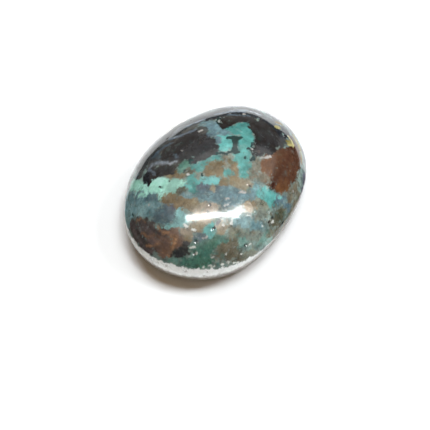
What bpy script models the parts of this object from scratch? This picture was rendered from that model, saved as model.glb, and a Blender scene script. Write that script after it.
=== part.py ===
"""A polished oval cabochon of turquoise with pyrite, cut from one piece of stone.

Its section is half an ellipse whose foot is rounded under to a flat back. The section is turned
once round Z, stretched to an oval with the faintly three-cornered outline of a hand-cut stone,
and then pitted where grains were plucked out of the matrix as it was ground.
Metres, +Z up, long axis along X, origin in the middle of the flat back.
"""

import math

import bmesh
import bpy
from mathutils import Matrix, Vector

MM = 0.001

# driving dimensions
LENGTH = 18.0 * MM
WIDTH = 13.6 * MM
HEIGHT = 6.2 * MM
FOOT_SLOPE = math.radians(20)  # how far the dome's normal is above level where the foot begins

# lobes of the outline: how many, share of the radius, bearing of the first one
OUTLINE_LOBES = (
    (3, 0.021, math.radians(-20)),
    (4, 0.0045, math.radians(43)),
    (5, 0.0075, math.radians(17.5)),
)
OUTLINE_SAMPLES = 720

DOME_RINGS = 24
FOOT_RINGS = 9
TURN_STEPS = 96

# open pits: bearing round the oval in degrees, height above the back and mouth radius in mm
PITS = (
    (312, 5.70, 0.22),
    (32, 5.56, 0.18),
    (98, 3.07, 0.17),
    (145, 4.98, 0.17),
    (174, 1.45, 0.20),
    (211, 1.35, 0.19),
    (220, 1.25, 0.16),
    (203, 3.04, 0.20),
    (203, 3.73, 0.16),
    (225, 2.10, 0.18),
    (222, 1.85, 0.15),
    (215, 2.10, 0.17),
    (211, 2.25, 0.15),
    (233, 2.37, 0.17),
    (238, 2.75, 0.20),
    (252, 3.39, 0.16),
    (257, 3.30, 0.20),
    (261, 3.45, 0.18),
    (268, 2.52, 0.17),
    (286, 2.97, 0.18),
)
PIT_BALL = 1.3  # radius of the ball that cuts a pit, in mouth radii
PIT_SUBDIVISIONS = 2


def empty_the_scene():
    for old in list(bpy.data.objects):
        bpy.data.objects.remove(old)


def collection(name):
    made = bpy.data.collections.new(name)
    bpy.context.scene.collection.children.link(made)
    return made


def dome_profile():
    """Radius and height down the section at +X, from the crown to the middle of the back."""
    half_length = LENGTH / 2
    last = math.atan(half_length / (HEIGHT * math.tan(FOOT_SLOPE)))
    turns = [last * ring / DOME_RINGS for ring in range(DOME_RINGS + 1)]
    points = [(half_length * math.sin(t), HEIGHT * math.cos(t)) for t in turns]

    radius, height = points[-1]
    foot_radius = height / (1 + math.sin(FOOT_SLOPE))
    foot_centre = radius - foot_radius * math.cos(FOOT_SLOPE)
    sweep = FOOT_SLOPE + math.pi / 2
    for ring in range(1, FOOT_RINGS + 1):
        angle = FOOT_SLOPE - sweep * ring / FOOT_RINGS
        points.append((foot_centre + foot_radius * math.cos(angle), foot_radius * (1 + math.sin(angle))))
    reach = foot_centre + foot_radius
    return [(r / reach, h) for r, h in points] + [(0.0, 0.0)]


def outline(bearing):
    """The oval's plan outline as a unit shape, before it is fitted to its length and width."""
    radius = 1 + sum(share * math.cos(lobes * (bearing - first)) for lobes, share, first in OUTLINE_LOBES)
    return Vector((radius * math.cos(bearing), radius * math.sin(bearing)))


def outline_frame():
    """Centre and half-spans of the unit outline, so that the stone can be made its exact size."""
    around = [outline(math.tau * step / OUTLINE_SAMPLES) for step in range(OUTLINE_SAMPLES)]
    low = Vector((min(p.x for p in around), min(p.y for p in around)))
    high = Vector((max(p.x for p in around), max(p.y for p in around)))
    return (low + high) / 2, (high - low) / 2


def on_stone(bearing, share, height, frame):
    """A point of the stone: share is 0 on its axis and 1 at the girdle."""
    centre, half_span = frame
    unit = outline(bearing) * share
    return Vector(
        (
            (unit.x - centre.x) / half_span.x * LENGTH / 2,
            (unit.y - centre.y) / half_span.y * WIDTH / 2,
            height,
        )
    )


def turned_mesh(profile):
    """The section turned once round Z by a Screw modifier, as a plain mesh of unit radius."""
    mesh = bpy.data.meshes.new("section")
    edges = [(i, i + 1) for i in range(len(profile) - 1)]
    mesh.from_pydata([(r, 0, h) for r, h in profile], edges, [])
    section = bpy.data.objects.new("section", mesh)
    bpy.context.scene.collection.objects.link(section)
    screw = section.modifiers.new("turn", "SCREW")
    screw.axis = "Z"
    screw.angle = math.tau
    screw.steps = screw.render_steps = TURN_STEPS
    screw.use_merge_vertices = True
    screw.merge_threshold = 1e-5
    evaluated = section.evaluated_get(bpy.context.evaluated_depsgraph_get())
    turned = bpy.data.meshes.new_from_object(evaluated)
    bpy.data.objects.remove(section)
    return turned


def stretch_to_oval(mesh, frame):
    for vertex in mesh.vertices:
        share = math.hypot(vertex.co.x, vertex.co.y)
        bearing = math.atan2(vertex.co.y, vertex.co.x)
        vertex.co = on_stone(bearing, share, vertex.co.z, frame)


def skin_at(bearing, height, profile, frame):
    """The place on the skin at this bearing and height, and the way out of the stone there."""
    below = next(i for i in range(1, len(profile)) if profile[i][1] <= height)
    (r0, h0), (r1, h1) = profile[below - 1], profile[below]
    share = r0 + (r1 - r0) * (h0 - height) / (h0 - h1)
    place = on_stone(bearing, share, height, frame)
    down = on_stone(bearing, r1, h1, frame) - on_stone(bearing, r0, h0, frame)
    step = math.tau / OUTLINE_SAMPLES
    along = on_stone(bearing + step, share, height, frame) - on_stone(bearing - step, share, height, frame)
    return place, down.cross(along).normalized()


def pit_cutter(profile, frame, folder):
    """One cutter for all the pits: a ball at each, centred outside the skin, so the pit is a shallow cup."""
    mesh = bmesh.new()
    for degrees, height, mouth in PITS:
        place, out = skin_at(math.radians(degrees), height * MM, profile, frame)
        ball = PIT_BALL * mouth * MM
        lift = math.sqrt(ball**2 - (mouth * MM) ** 2)
        centre = Matrix.Translation(place + out * lift)
        bmesh.ops.create_icosphere(mesh, subdivisions=PIT_SUBDIVISIONS, radius=ball, matrix=centre)
    data = bpy.data.meshes.new("pit_balls")
    mesh.to_mesh(data)
    mesh.free()
    cutter = bpy.data.objects.new("pit_balls", data)
    cutter.hide_render = True
    cutter.display_type = "WIRE"
    folder.objects.link(cutter)
    return cutter


def stone_material():
    """Polished blue-green stone, an average of the turquoise, its matrix and the pyrite."""
    material = bpy.data.materials.new("polished_turquoise_with_pyrite")
    material.use_nodes = True
    shader = material.node_tree.nodes["Principled BSDF"]
    shader.inputs["Base Color"].default_value = (0.115, 0.155, 0.135, 1)
    shader.inputs["Roughness"].default_value = 0.12
    shader.inputs["Metallic"].default_value = 0.0
    return material


def make_cabochon():
    part_folder = collection("turquoise_with_pyrite")
    cutter_folder = collection("cutters")
    profile = dome_profile()
    frame = outline_frame()

    mesh = turned_mesh(profile)
    mesh.name = "cabochon"
    stretch_to_oval(mesh, frame)
    mesh.shade_smooth()
    mesh.materials.clear()
    mesh.materials.append(stone_material())
    stone = bpy.data.objects.new("cabochon", mesh)
    part_folder.objects.link(stone)

    pitting = stone.modifiers.new("pits", "BOOLEAN")
    pitting.operation = "DIFFERENCE"
    pitting.solver = "EXACT"
    pitting.object = pit_cutter(profile, frame, cutter_folder)
    return stone


empty_the_scene()
make_cabochon()
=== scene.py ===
# %% [markdown]
# # A cabochon of turquoise with pyrite
# The real thing is one piece of rock, sawn flat, ground to a dome and polished. Veins of turquoise run
# between grains of bronze pyrite and a nearly black matrix. There is no setting and nothing is hinged.
# This first cell loads the imported CAD part. It is the fixed frame that the dressed stone must fit.

# %% Load the frame
import math

import bpy
import numpy as np
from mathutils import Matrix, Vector


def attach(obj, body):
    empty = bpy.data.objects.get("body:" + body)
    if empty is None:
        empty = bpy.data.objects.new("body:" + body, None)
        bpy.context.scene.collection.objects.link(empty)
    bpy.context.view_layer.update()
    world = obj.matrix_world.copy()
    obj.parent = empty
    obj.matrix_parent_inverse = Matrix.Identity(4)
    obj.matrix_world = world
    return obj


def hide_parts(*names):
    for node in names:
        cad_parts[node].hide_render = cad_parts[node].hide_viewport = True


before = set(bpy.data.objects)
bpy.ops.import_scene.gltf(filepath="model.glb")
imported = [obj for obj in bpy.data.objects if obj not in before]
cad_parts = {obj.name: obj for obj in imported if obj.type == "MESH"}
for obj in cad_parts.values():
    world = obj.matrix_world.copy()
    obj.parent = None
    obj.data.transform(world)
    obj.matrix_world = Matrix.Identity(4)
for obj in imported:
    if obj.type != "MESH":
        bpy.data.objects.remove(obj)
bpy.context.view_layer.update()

MM = 0.001

# %% [markdown]
# ## Small helpers
# A node tree is a list of nodes and links. The trees below could be drawn in Blender's editor, but a
# script can be read, measured and run again, and one helper that adds a node with its settings and its
# links is enough for all of them.

# %% A helper that adds a node
def add(tree, kind, inputs=None, **settings):
    """Adds a node and returns its first output. An input is given a value, a socket or a list of sockets."""
    node = tree.nodes.new(kind)
    for name, value in settings.items():
        setattr(node, name, value)
    for key, value in (inputs or {}).items():
        for source in value if isinstance(value, list) else [value]:
            if isinstance(source, bpy.types.NodeSocket):
                tree.links.new(source, node.inputs[key])
            else:
                node.inputs[key].default_value = source
    return next((out for out in node.outputs if out.enabled), None)


# %% [markdown]
# Colours are written as the sRGB hex values that a painter would pick on a screen. The renderer works
# in linear light, where half the number is half the light, so one function turns the first into the
# second.

# %% Helpers for colours
def linear(hex_colour):
    """Linear red, green, blue and alpha of an sRGB hex colour."""
    parts = [int(hex_colour[i : i + 2], 16) / 255 for i in (1, 3, 5)]
    return (*(p / 12.92 if p <= 0.04045 else ((p + 0.055) / 1.055) ** 2.4 for p in parts), 1.0)


print("a mid grey on screen is %.2f of full light" % linear("#808080")[0])

# %% [markdown]
# ## The shape of the stone
# A lapidary grinds the dome to an even oval by hand, so its section is close to half an ellipse, its
# foot is rounded under to the flat back, and the outline is faintly three-cornered. A squashed ball
# would do for a marble, but it has neither the foot nor the corners. A section and an outline, each
# given by a formula, have both. The numbers are those of the CAD source, so the dressed stone and the
# solid are the same size.

# %% Sizes of the stone, in mm
LENGTH, WIDTH, HEIGHT = 18.0, 13.6, 6.2
FOOT_SLOPE = math.radians(20)  # how far the dome's normal is above level where the foot begins
OUTLINE_LOBES = (
    (3, 0.021, math.radians(-20)),
    (4, 0.0045, math.radians(43)),
    (5, 0.0075, math.radians(17.5)),
)

LAST_TURN = math.atan(LENGTH / 2 / (HEIGHT * math.tan(FOOT_SLOPE)))
FOOT_RADIUS = HEIGHT * math.cos(LAST_TURN) / (1 + math.sin(FOOT_SLOPE))
FOOT_CENTRE = LENGTH / 2 * math.sin(LAST_TURN) - FOOT_RADIUS * math.cos(FOOT_SLOPE)
REACH = FOOT_CENTRE + FOOT_RADIUS


def swell(bearing):
    """How far the hand-cut outline bulges at a bearing, as a share of the plain oval's radius."""
    return 1 + sum(share * np.cos(lobes * (bearing - first)) for lobes, share, first in OUTLINE_LOBES)


OUTLINE_SAMPLES = 720
around = np.linspace(0, math.tau, OUTLINE_SAMPLES, endpoint=False)
unit_outline = np.stack([swell(around) * np.cos(around), swell(around) * np.sin(around)], 1)
CENTRE = (unit_outline.min(0) + unit_outline.max(0)) / 2
HALF_SPAN = (unit_outline.max(0) - unit_outline.min(0)) / 2
HALF_SIZE = np.array([LENGTH / 2, WIDTH / 2])

# the section from the crown down to the girdle, as shares of the girdle's radius and heights
DOME_SAMPLES, FOOT_SAMPLES = 80, 20
turns = np.linspace(0, LAST_TURN, DOME_SAMPLES)
rounds = np.linspace(FOOT_SLOPE, 0, FOOT_SAMPLES)[1:]
SECTION_SHARE = np.concatenate(
    [LENGTH / 2 * np.sin(turns), FOOT_CENTRE + FOOT_RADIUS * np.cos(rounds)]
) / REACH
SECTION_HEIGHT = np.concatenate([HEIGHT * np.cos(turns), FOOT_RADIUS * (1 + np.sin(rounds))])
print("foot radius %.2f mm, dome slope ends %.1f mm from the axis" % (FOOT_RADIUS, FOOT_CENTRE))


# %% Places on the skin
def skin_at(bearing, height):
    """The place on the polished skin at a bearing round the oval and a height above the back, in mm."""
    share = np.interp(-height, -SECTION_HEIGHT, SECTION_SHARE)
    unit = swell(bearing) * share * np.array([math.cos(bearing), math.sin(bearing)])
    return [*((unit - CENTRE) / HALF_SPAN * HALF_SIZE), height]


def skin_over(x, y):
    """The place on the skin above a plan point that is x and y mm from the crown of the dome."""
    unit = np.array([x, y]) / HALF_SIZE
    share = np.hypot(*unit) / swell(math.atan2(unit[1], unit[0]))
    height = np.interp(share, SECTION_SHARE, SECTION_HEIGHT)
    return [*((unit - CENTRE) / HALF_SPAN * HALF_SIZE), height]


print("the crown is %.2f, %.2f mm from the middle of the back" % tuple(skin_over(0, 0)[:2]))

# %% [markdown]
# ## Pits
# Grinding plucks soft grains out of the matrix and leaves shallow open cups, mostly on the flank. A bump
# map could fake them, but it would flatten out when seen from the side, so each cup is a real hollow
# whose wall catches the lights. The largest are in the CAD solid too and are listed here, as points of
# a small mesh that the tree reads. Finer ones are scattered by the tree itself.

# %% Large pits: bearing in degrees, height and mouth radius in mm
PITS = (
    (312, 5.70, 0.22), (32, 5.56, 0.18), (98, 3.07, 0.17), (145, 4.98, 0.17), (174, 1.45, 0.20),
    (211, 1.35, 0.19), (220, 1.25, 0.16), (203, 3.04, 0.20), (203, 3.73, 0.16), (225, 2.10, 0.18),
    (222, 1.85, 0.15), (215, 2.10, 0.17), (211, 2.25, 0.15), (233, 2.37, 0.17), (238, 2.75, 0.20),
    (252, 3.39, 0.16), (257, 3.30, 0.20), (261, 3.45, 0.18), (268, 2.52, 0.17), (286, 2.97, 0.18),
)
pit_places = [skin_at(math.radians(bearing), height) for bearing, height, _ in PITS]
pit_mesh = bpy.data.meshes.new("pit_centres")
pit_mesh.from_pydata([[c * MM for c in place] for place in pit_places], [], [])
mouths = pit_mesh.attributes.new("mouth", "FLOAT", "POINT")
mouths.data.foreach_set("value", [mouth * MM for _, _, mouth in PITS])
pit_centres = bpy.data.objects.new("pit_centres", pit_mesh)
print(len(PITS), "large pits, mouths", min(p[2] for p in PITS), "to", max(p[2] for p in PITS), "mm")

# %% [markdown]
# ## The stone as a Geometry Nodes tree
# The dome follows a rule, so a tree makes it: a square grid is wrapped to a disc, which keeps its cells
# even and leaves no pole, and each ring of the disc is given its radius and height on the section.
# Then the skin is made faintly uneven, as hand polishing leaves it, and the pits are pressed in. A
# second, coarser grid closes the flat back.

# %% A tree with named inputs
tree = bpy.data.node_groups.new("polished_cabochon", "GeometryNodeTree")
tree.interface.new_socket("Stone", in_out="OUTPUT", socket_type="NodeSocketGeometry")
stone_inputs = {}
given = {}
for name, kind, value in (
    ("Cells across", "NodeSocketInt", 296),
    ("Half length", "NodeSocketFloat", LENGTH / 2 * MM),
    ("Height", "NodeSocketFloat", HEIGHT * MM),
    ("Last turn", "NodeSocketFloat", LAST_TURN),
    ("Foot slope", "NodeSocketFloat", FOOT_SLOPE),
    ("Foot radius", "NodeSocketFloat", FOOT_RADIUS * MM),
    ("Foot centre", "NodeSocketFloat", FOOT_CENTRE * MM),
    ("Crown offset", "NodeSocketVector", (*(-CENTRE / HALF_SPAN * HALF_SIZE * MM), 0.0)),
    ("Spread", "NodeSocketVector", (*(HALF_SIZE / HALF_SPAN * MM), 1.0)),
    ("Unevenness", "NodeSocketFloat", 0.016 * MM),
    ("Unevenness size", "NodeSocketFloat", 3.2 * MM),
    ("Large pits", "NodeSocketObject", pit_centres),
    ("Fine pits per square metre", "NodeSocketFloat", 0.22e6),
    ("Seed", "NodeSocketInt", 11),
    ("Material", "NodeSocketMaterial", None),
):
    socket = tree.interface.new_socket(name, in_out="INPUT", socket_type=kind)
    stone_inputs[name] = socket.identifier
    given[name] = value
group_in = tree.nodes.new("NodeGroupInput")
size = {socket.name: socket for socket in group_in.outputs}
print("tree inputs:", ", ".join(given))

# %% [markdown]
# The concentric map turns the square into a disc without folding it: the larger of |x| and |y| becomes
# the ring, and the smaller one, as a share of it, becomes an eighth of a turn. A ball of rings and
# segments would crowd its faces at the crown, where the brightest reflection lies, and show it.

# %% Wrap the grid to a disc
across = add(tree, "ShaderNodeMath", {0: size["Cells across"], 1: 1.0}, operation="ADD")
grid = add(
    tree, "GeometryNodeMeshGrid",
    {"Size X": 2.0, "Size Y": 2.0, "Vertices X": across, "Vertices Y": across},
)
square = add(tree, "ShaderNodeSeparateXYZ", {0: add(tree, "GeometryNodeInputPosition")}).node.outputs
flat_x = add(tree, "ShaderNodeMath", {0: square["X"]}, operation="ABSOLUTE")
flat_y = add(tree, "ShaderNodeMath", {0: square["Y"]}, operation="ABSOLUTE")
ring = add(tree, "ShaderNodeMath", {0: flat_x, 1: flat_y}, operation="MAXIMUM")
lesser = add(tree, "ShaderNodeMath", {0: flat_x, 1: flat_y}, operation="MINIMUM")
part = add(tree, "ShaderNodeMath", {0: lesser, 1: ring}, operation="DIVIDE")
eighth = add(tree, "ShaderNodeMath", {0: part, 1: math.pi / 4}, operation="MULTIPLY")
long_leg = add(tree, "ShaderNodeMath", {0: eighth}, operation="COSINE")
short_leg = add(tree, "ShaderNodeMath", {0: eighth}, operation="SINE")
wide = add(tree, "ShaderNodeMath", {0: flat_x, 1: flat_y}, operation="GREATER_THAN")
leg_x = add(tree, "ShaderNodeMix", {"Factor": wide, "A": short_leg, "B": long_leg})
leg_y = add(tree, "ShaderNodeMix", {"Factor": wide, "A": long_leg, "B": short_leg})
side_x = add(tree, "ShaderNodeMath", {0: square["X"]}, operation="SIGN")
side_y = add(tree, "ShaderNodeMath", {0: square["Y"]}, operation="SIGN")
way_x = add(tree, "ShaderNodeMath", {0: leg_x, 1: side_x}, operation="MULTIPLY")
way_y = add(tree, "ShaderNodeMath", {0: leg_y, 1: side_y}, operation="MULTIPLY")
bearing = add(tree, "ShaderNodeMath", {0: way_y, 1: way_x}, operation="ARCTAN2")
print(len(tree.nodes), "nodes give each point its ring and its bearing")

# %% [markdown]
# A hand-cut outline bulges a little here and there. Each lobe is one cosine round the oval, so three of
# them give the tree the same outline that the numbers above describe, at any bearing.

# %% Swell the outline by its lobes
outline_share = 1.0
for lobes, share, first in OUTLINE_LOBES:
    lobe_turn = add(
        tree, "ShaderNodeMath", {0: bearing, 1: float(lobes), 2: -lobes * first}, operation="MULTIPLY_ADD"
    )
    lobe = add(tree, "ShaderNodeMath", {0: lobe_turn}, operation="COSINE")
    outline_share = add(
        tree, "ShaderNodeMath", {0: lobe, 1: share, 2: outline_share}, operation="MULTIPLY_ADD"
    )
print("lobes in the outline:", ", ".join(str(lobes) for lobes, _, _ in OUTLINE_LOBES))

# %% [markdown]
# The section has two parts that meet without a corner: an ellipse from the crown to the last turn, and
# a round foot from there to the back. Each ring reads its radius and height from one of them.

# %% Radius and height of each ring
FOOT_STARTS = 0.83  # share of the rings that lie on the dome, near its share of the section's length
on_dome = add(
    tree, "ShaderNodeMapRange",
    {"Value": ring, "From Max": FOOT_STARTS, "To Max": size["Last turn"]},
)
dome_sine = add(tree, "ShaderNodeMath", {0: on_dome}, operation="SINE")
dome_cosine = add(tree, "ShaderNodeMath", {0: on_dome}, operation="COSINE")
dome_radius = add(tree, "ShaderNodeMath", {0: dome_sine, 1: size["Half length"]}, operation="MULTIPLY")
dome_height = add(tree, "ShaderNodeMath", {0: dome_cosine, 1: size["Height"]}, operation="MULTIPLY")
on_foot = add(
    tree, "ShaderNodeMapRange",
    {"Value": ring, "From Min": FOOT_STARTS, "To Min": size["Foot slope"], "To Max": -math.pi / 2},
)
foot_cosine = add(tree, "ShaderNodeMath", {0: on_foot}, operation="COSINE")
foot_sine = add(tree, "ShaderNodeMath", {0: on_foot}, operation="SINE")
foot_radius = add(
    tree, "ShaderNodeMath",
    {0: foot_cosine, 1: size["Foot radius"], 2: size["Foot centre"]}, operation="MULTIPLY_ADD",
)
foot_height = add(
    tree, "ShaderNodeMath",
    {0: foot_sine, 1: size["Foot radius"], 2: size["Foot radius"]}, operation="MULTIPLY_ADD",
)
is_foot = add(tree, "ShaderNodeMath", {0: ring, 1: FOOT_STARTS}, operation="GREATER_THAN")
radius = add(tree, "ShaderNodeMix", {"Factor": is_foot, "A": dome_radius, "B": foot_radius})
height = add(tree, "ShaderNodeMix", {"Factor": is_foot, "A": dome_height, "B": foot_height})
print("the foot takes the outer %.0f%% of the rings" % (100 * (1 - FOOT_STARTS)))

# %% [markdown]
# Now each point of the grid has a bearing, a radius and a height. The outline is fitted to the exact
# length and width by one stretch and one shift, which also sets the crown a hair off the middle.

# %% Lay the disc on the dome
reach = add(tree, "ShaderNodeMath", {0: size["Foot radius"], 1: size["Foot centre"]}, operation="ADD")
ring_share = add(tree, "ShaderNodeMath", {0: radius, 1: reach}, operation="DIVIDE")
bulged = add(tree, "ShaderNodeMath", {0: ring_share, 1: outline_share}, operation="MULTIPLY")
way = add(tree, "ShaderNodeCombineXYZ", {"X": way_x, "Y": way_y})
plan = add(tree, "ShaderNodeVectorMath", {0: way, "Scale": bulged}, operation="SCALE")
lifted = add(
    tree, "ShaderNodeVectorMath",
    {0: plan, 1: size["Spread"], 2: size["Crown offset"]}, operation="MULTIPLY_ADD",
)
lift = add(tree, "ShaderNodeCombineXYZ", {"Z": height})
dome = add(tree, "GeometryNodeSetPosition", {"Geometry": grid, "Position": lifted, "Offset": lift})
print(len(tree.nodes), "nodes as far as the plain dome")

# %% [markdown]
# Hand polishing leaves long shallow waves of one or two hundredths of a millimetre. They are too low to
# see as shape, but they bend the reflections of the lamps, which is how the eye tells a hand-cut stone
# from a moulded one. One broad noise pushes the skin in and out along its normal. The waves fade out
# towards the back, which is ground flat.

# %% Faint waves of hand polishing
WAVES_FULL = 2.0 * MM  # height above the back where the waves reach their full size
noise_scale = add(tree, "ShaderNodeMath", {0: 1.0, 1: size["Unevenness size"]}, operation="DIVIDE")
waves = add(tree, "ShaderNodeTexNoise", {"Scale": noise_scale, "Detail": 1.5, "Roughness": 0.45})
wave_height = add(
    tree, "ShaderNodeMapRange",
    {"Value": waves, "From Min": 0.25, "From Max": 0.75, "To Min": -1.0, "To Max": 1.0},
)
level = add(tree, "ShaderNodeSeparateXYZ", {0: add(tree, "GeometryNodeInputPosition")}).node.outputs["Z"]
fade = add(
    tree, "ShaderNodeMapRange",
    {"Value": level, "From Max": WAVES_FULL, "To Max": size["Unevenness"]},
)
wave_offset = add(tree, "ShaderNodeMath", {0: wave_height, 1: fade}, operation="MULTIPLY")
outward = add(tree, "GeometryNodeInputNormal")
push = add(tree, "ShaderNodeVectorMath", {0: outward, "Scale": wave_offset}, operation="SCALE")
skin = add(tree, "GeometryNodeSetPosition", {"Geometry": dome, "Offset": push})
print("waves of %.3f mm, %.1f mm apart" % (given["Unevenness"] / MM, given["Unevenness size"] / MM))

# %% [markdown]
# The fine pits could be one noise pushed through a threshold, but then their size and their number
# couldn't be set apart. Scattered points can carry each its own mouth radius, as the listed ones do.

# %% Gather large pits and scatter fine ones
PITS_START = 0.5 * MM  # height above the back where the fine pits begin
FINE_MOUTHS = 0.05 * MM, 0.11 * MM
large = add(tree, "GeometryNodeObjectInfo", {"Object": size["Large pits"]}, transform_space="ORIGINAL")
large_points = add(tree, "GeometryNodeMeshToPoints", {"Mesh": large.node.outputs["Geometry"]})
off_the_back = add(tree, "ShaderNodeMath", {0: level, 1: PITS_START}, operation="GREATER_THAN")
fine_points = add(
    tree, "GeometryNodeDistributePointsOnFaces",
    {
        "Mesh": skin, "Selection": off_the_back,
        "Density": size["Fine pits per square metre"], "Seed": size["Seed"],
    },
)
fine_mouth = add(
    tree, "FunctionNodeRandomValue",
    {2: FINE_MOUTHS[0], 3: FINE_MOUTHS[1], "Seed": size["Seed"]}, data_type="FLOAT",
)
fine_points = add(
    tree, "GeometryNodeStoreNamedAttribute",
    {"Geometry": fine_points, "Name": "mouth", "Value": fine_mouth}, data_type="FLOAT", domain="POINT",
)
pits = add(tree, "GeometryNodeJoinGeometry", {0: [large_points, fine_points]})
print("fine pits have mouths of %.2f to %.2f mm" % tuple(mouth / MM for mouth in FINE_MOUTHS))

# %% [markdown]
# A pit is the cap of a ball whose centre hangs outside the skin. So a point of the skin is pushed in by
# what the ball reaches below it, which is zero at the mouth and deepest in the middle.

# %% Press the pits into the skin
PIT_BALL = 1.3  # radius of the ball that cuts a pit, in mouth radii
PIT_LIFT = math.sqrt(PIT_BALL**2 - 1)
here = add(tree, "GeometryNodeInputPosition")
nearest = add(tree, "GeometryNodeSampleNearest", {0: pits, 1: here})
pit_middle = add(
    tree, "GeometryNodeSampleIndex",
    {"Geometry": pits, "Value": here, "Index": nearest}, data_type="FLOAT_VECTOR",
)
mouth_named = add(tree, "GeometryNodeInputNamedAttribute", {"Name": "mouth"}, data_type="FLOAT")
pit_mouth = add(
    tree, "GeometryNodeSampleIndex",
    {"Geometry": pits, "Value": mouth_named, "Index": nearest}, data_type="FLOAT",
)
gap = add(tree, "ShaderNodeVectorMath", {0: here, 1: pit_middle}, operation="DISTANCE").node.outputs["Value"]
gap_share = add(tree, "ShaderNodeMath", {0: gap, 1: pit_mouth}, operation="DIVIDE")
gap_squared = add(tree, "ShaderNodeMath", {0: gap_share, 1: gap_share}, operation="MULTIPLY")
under_root = add(tree, "ShaderNodeMath", {0: PIT_BALL**2, 1: gap_squared}, operation="SUBTRACT")
ball_reach = add(tree, "ShaderNodeMath", {0: under_root}, operation="SQRT")
depth_share = add(tree, "ShaderNodeMath", {0: ball_reach, 1: PIT_LIFT}, operation="SUBTRACT")
cup = add(tree, "ShaderNodeMath", {0: depth_share, 1: 0.0}, operation="MAXIMUM")
cup_depth = add(tree, "ShaderNodeMath", {0: cup, 1: pit_mouth}, operation="MULTIPLY")
inward = add(tree, "ShaderNodeMath", {0: cup_depth, 1: -1.0}, operation="MULTIPLY")
press = add(
    tree, "ShaderNodeVectorMath",
    {0: add(tree, "GeometryNodeInputNormal"), "Scale": inward}, operation="SCALE",
)
pitted = add(tree, "GeometryNodeSetPosition", {"Geometry": skin, "Offset": press})
print("a pit is %.2f of its mouth radius deep" % (PIT_BALL - PIT_LIFT))

# %% [markdown]
# The flat back is ground in one plane. One large face could close it, but the minerals are written on
# the points of the mesh, and such a face has none inside. So the back gets its own coarser grid, wrapped
# by the same rule, and a narrow band of triangles joins it to the rim of the dome.

# %% Close the flat back
BACK_SHARE = 0.97 * FOOT_CENTRE / REACH  # how much of the girdle's radius the grid of the back reaches
BACK_COARSENESS = 0.25  # cells across the back for each cell across the dome
rim_faces = add(tree, "GeometryNodeInputMeshEdgeNeighbors")
is_rim = add(tree, "FunctionNodeCompare", {2: rim_faces, 3: 1}, data_type="INT", operation="EQUAL")
rim = add(tree, "GeometryNodeMeshToCurve", {"Mesh": pitted, "Selection": is_rim})
back_across = add(
    tree, "ShaderNodeMath",
    {0: size["Cells across"], 1: BACK_COARSENESS, 2: 1.0}, operation="MULTIPLY_ADD",
)
back_grid = add(
    tree, "GeometryNodeMeshGrid",
    {"Size X": 2.0, "Size Y": 2.0, "Vertices X": back_across, "Vertices Y": back_across},
)
back_ring = add(tree, "ShaderNodeMath", {0: ring, 1: BACK_SHARE}, operation="MULTIPLY")
back_bulged = add(tree, "ShaderNodeMath", {0: back_ring, 1: outline_share}, operation="MULTIPLY")
back_plan = add(tree, "ShaderNodeVectorMath", {0: way, "Scale": back_bulged}, operation="SCALE")
back_place = add(
    tree, "ShaderNodeVectorMath",
    {0: back_plan, 1: size["Spread"], 2: size["Crown offset"]}, operation="MULTIPLY_ADD",
)
back_disc = add(tree, "GeometryNodeSetPosition", {"Geometry": back_grid, "Position": back_place})
back_edge = add(tree, "GeometryNodeMeshToCurve", {"Mesh": back_disc, "Selection": is_rim})
both_edges = add(tree, "GeometryNodeJoinGeometry", {0: [rim, back_edge]})
band = add(tree, "GeometryNodeFillCurve", {"Curve": both_edges}, mode="TRIANGLES")
underside = add(tree, "GeometryNodeJoinGeometry", {0: [band, back_disc]})
back = add(tree, "GeometryNodeFlipFaces", {"Mesh": underside})
print("the grid of the back reaches %.0f%% of the girdle" % (100 * BACK_SHARE))

# %% [markdown]
# The dome and the back share their rim, so its doubled points are merged and the skin is closed. The tree
# ends by making its result real and giving it the material.

# %% Finish the tree
whole = add(tree, "GeometryNodeJoinGeometry", {0: [pitted, back]})
closed = add(tree, "GeometryNodeMergeByDistance", {"Geometry": whole, "Distance": 0.001 * MM})
smooth = add(tree, "GeometryNodeSetShadeSmooth", {0: closed, "Shade Smooth": True})
real = add(tree, "GeometryNodeRealizeInstances", {"Geometry": smooth})
dressed = add(tree, "GeometryNodeSetMaterial", {"Geometry": real, "Material": size["Material"]})
tree.links.new(dressed, tree.nodes.new("NodeGroupOutput").inputs[0])
print(len(tree.nodes), "nodes in the whole tree")

# %% [markdown]
# A modifier runs the tree on an empty object. Its result is copied to a plain mesh of its own and the
# modifier is dropped, so that what is measured and dressed below can't change any more.

# %% Run the tree and keep its mesh
stone_finish = bpy.data.materials.new("polished_turquoise_with_pyrite")
given["Material"] = stone_finish
maker = bpy.data.objects.new("stone_maker", bpy.data.meshes.new("stone_maker"))
bpy.context.scene.collection.objects.link(maker)
modifier = maker.modifiers.new("cut_and_polish", "NODES")
modifier.node_group = tree
for name, identifier in stone_inputs.items():
    modifier[identifier] = given[name]
evaluated = maker.evaluated_get(bpy.context.evaluated_depsgraph_get())
stone_mesh = bpy.data.meshes.new_from_object(evaluated)
stone_mesh.name = "cabochon_stone"
stone_mesh.materials.clear()
stone_mesh.materials.append(stone_finish)
stone_mesh.polygons.foreach_set("material_index", [0] * len(stone_mesh.polygons))
maker.modifiers.remove(modifier)
bpy.data.objects.remove(maker)
stone = bpy.data.objects.new("cabochon_stone", stone_mesh)
bpy.context.scene.collection.objects.link(stone)
stone_mesh.calc_loop_triangles()
print(len(stone_mesh.vertices), "vertices,", len(stone_mesh.loop_triangles), "triangles")

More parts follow.
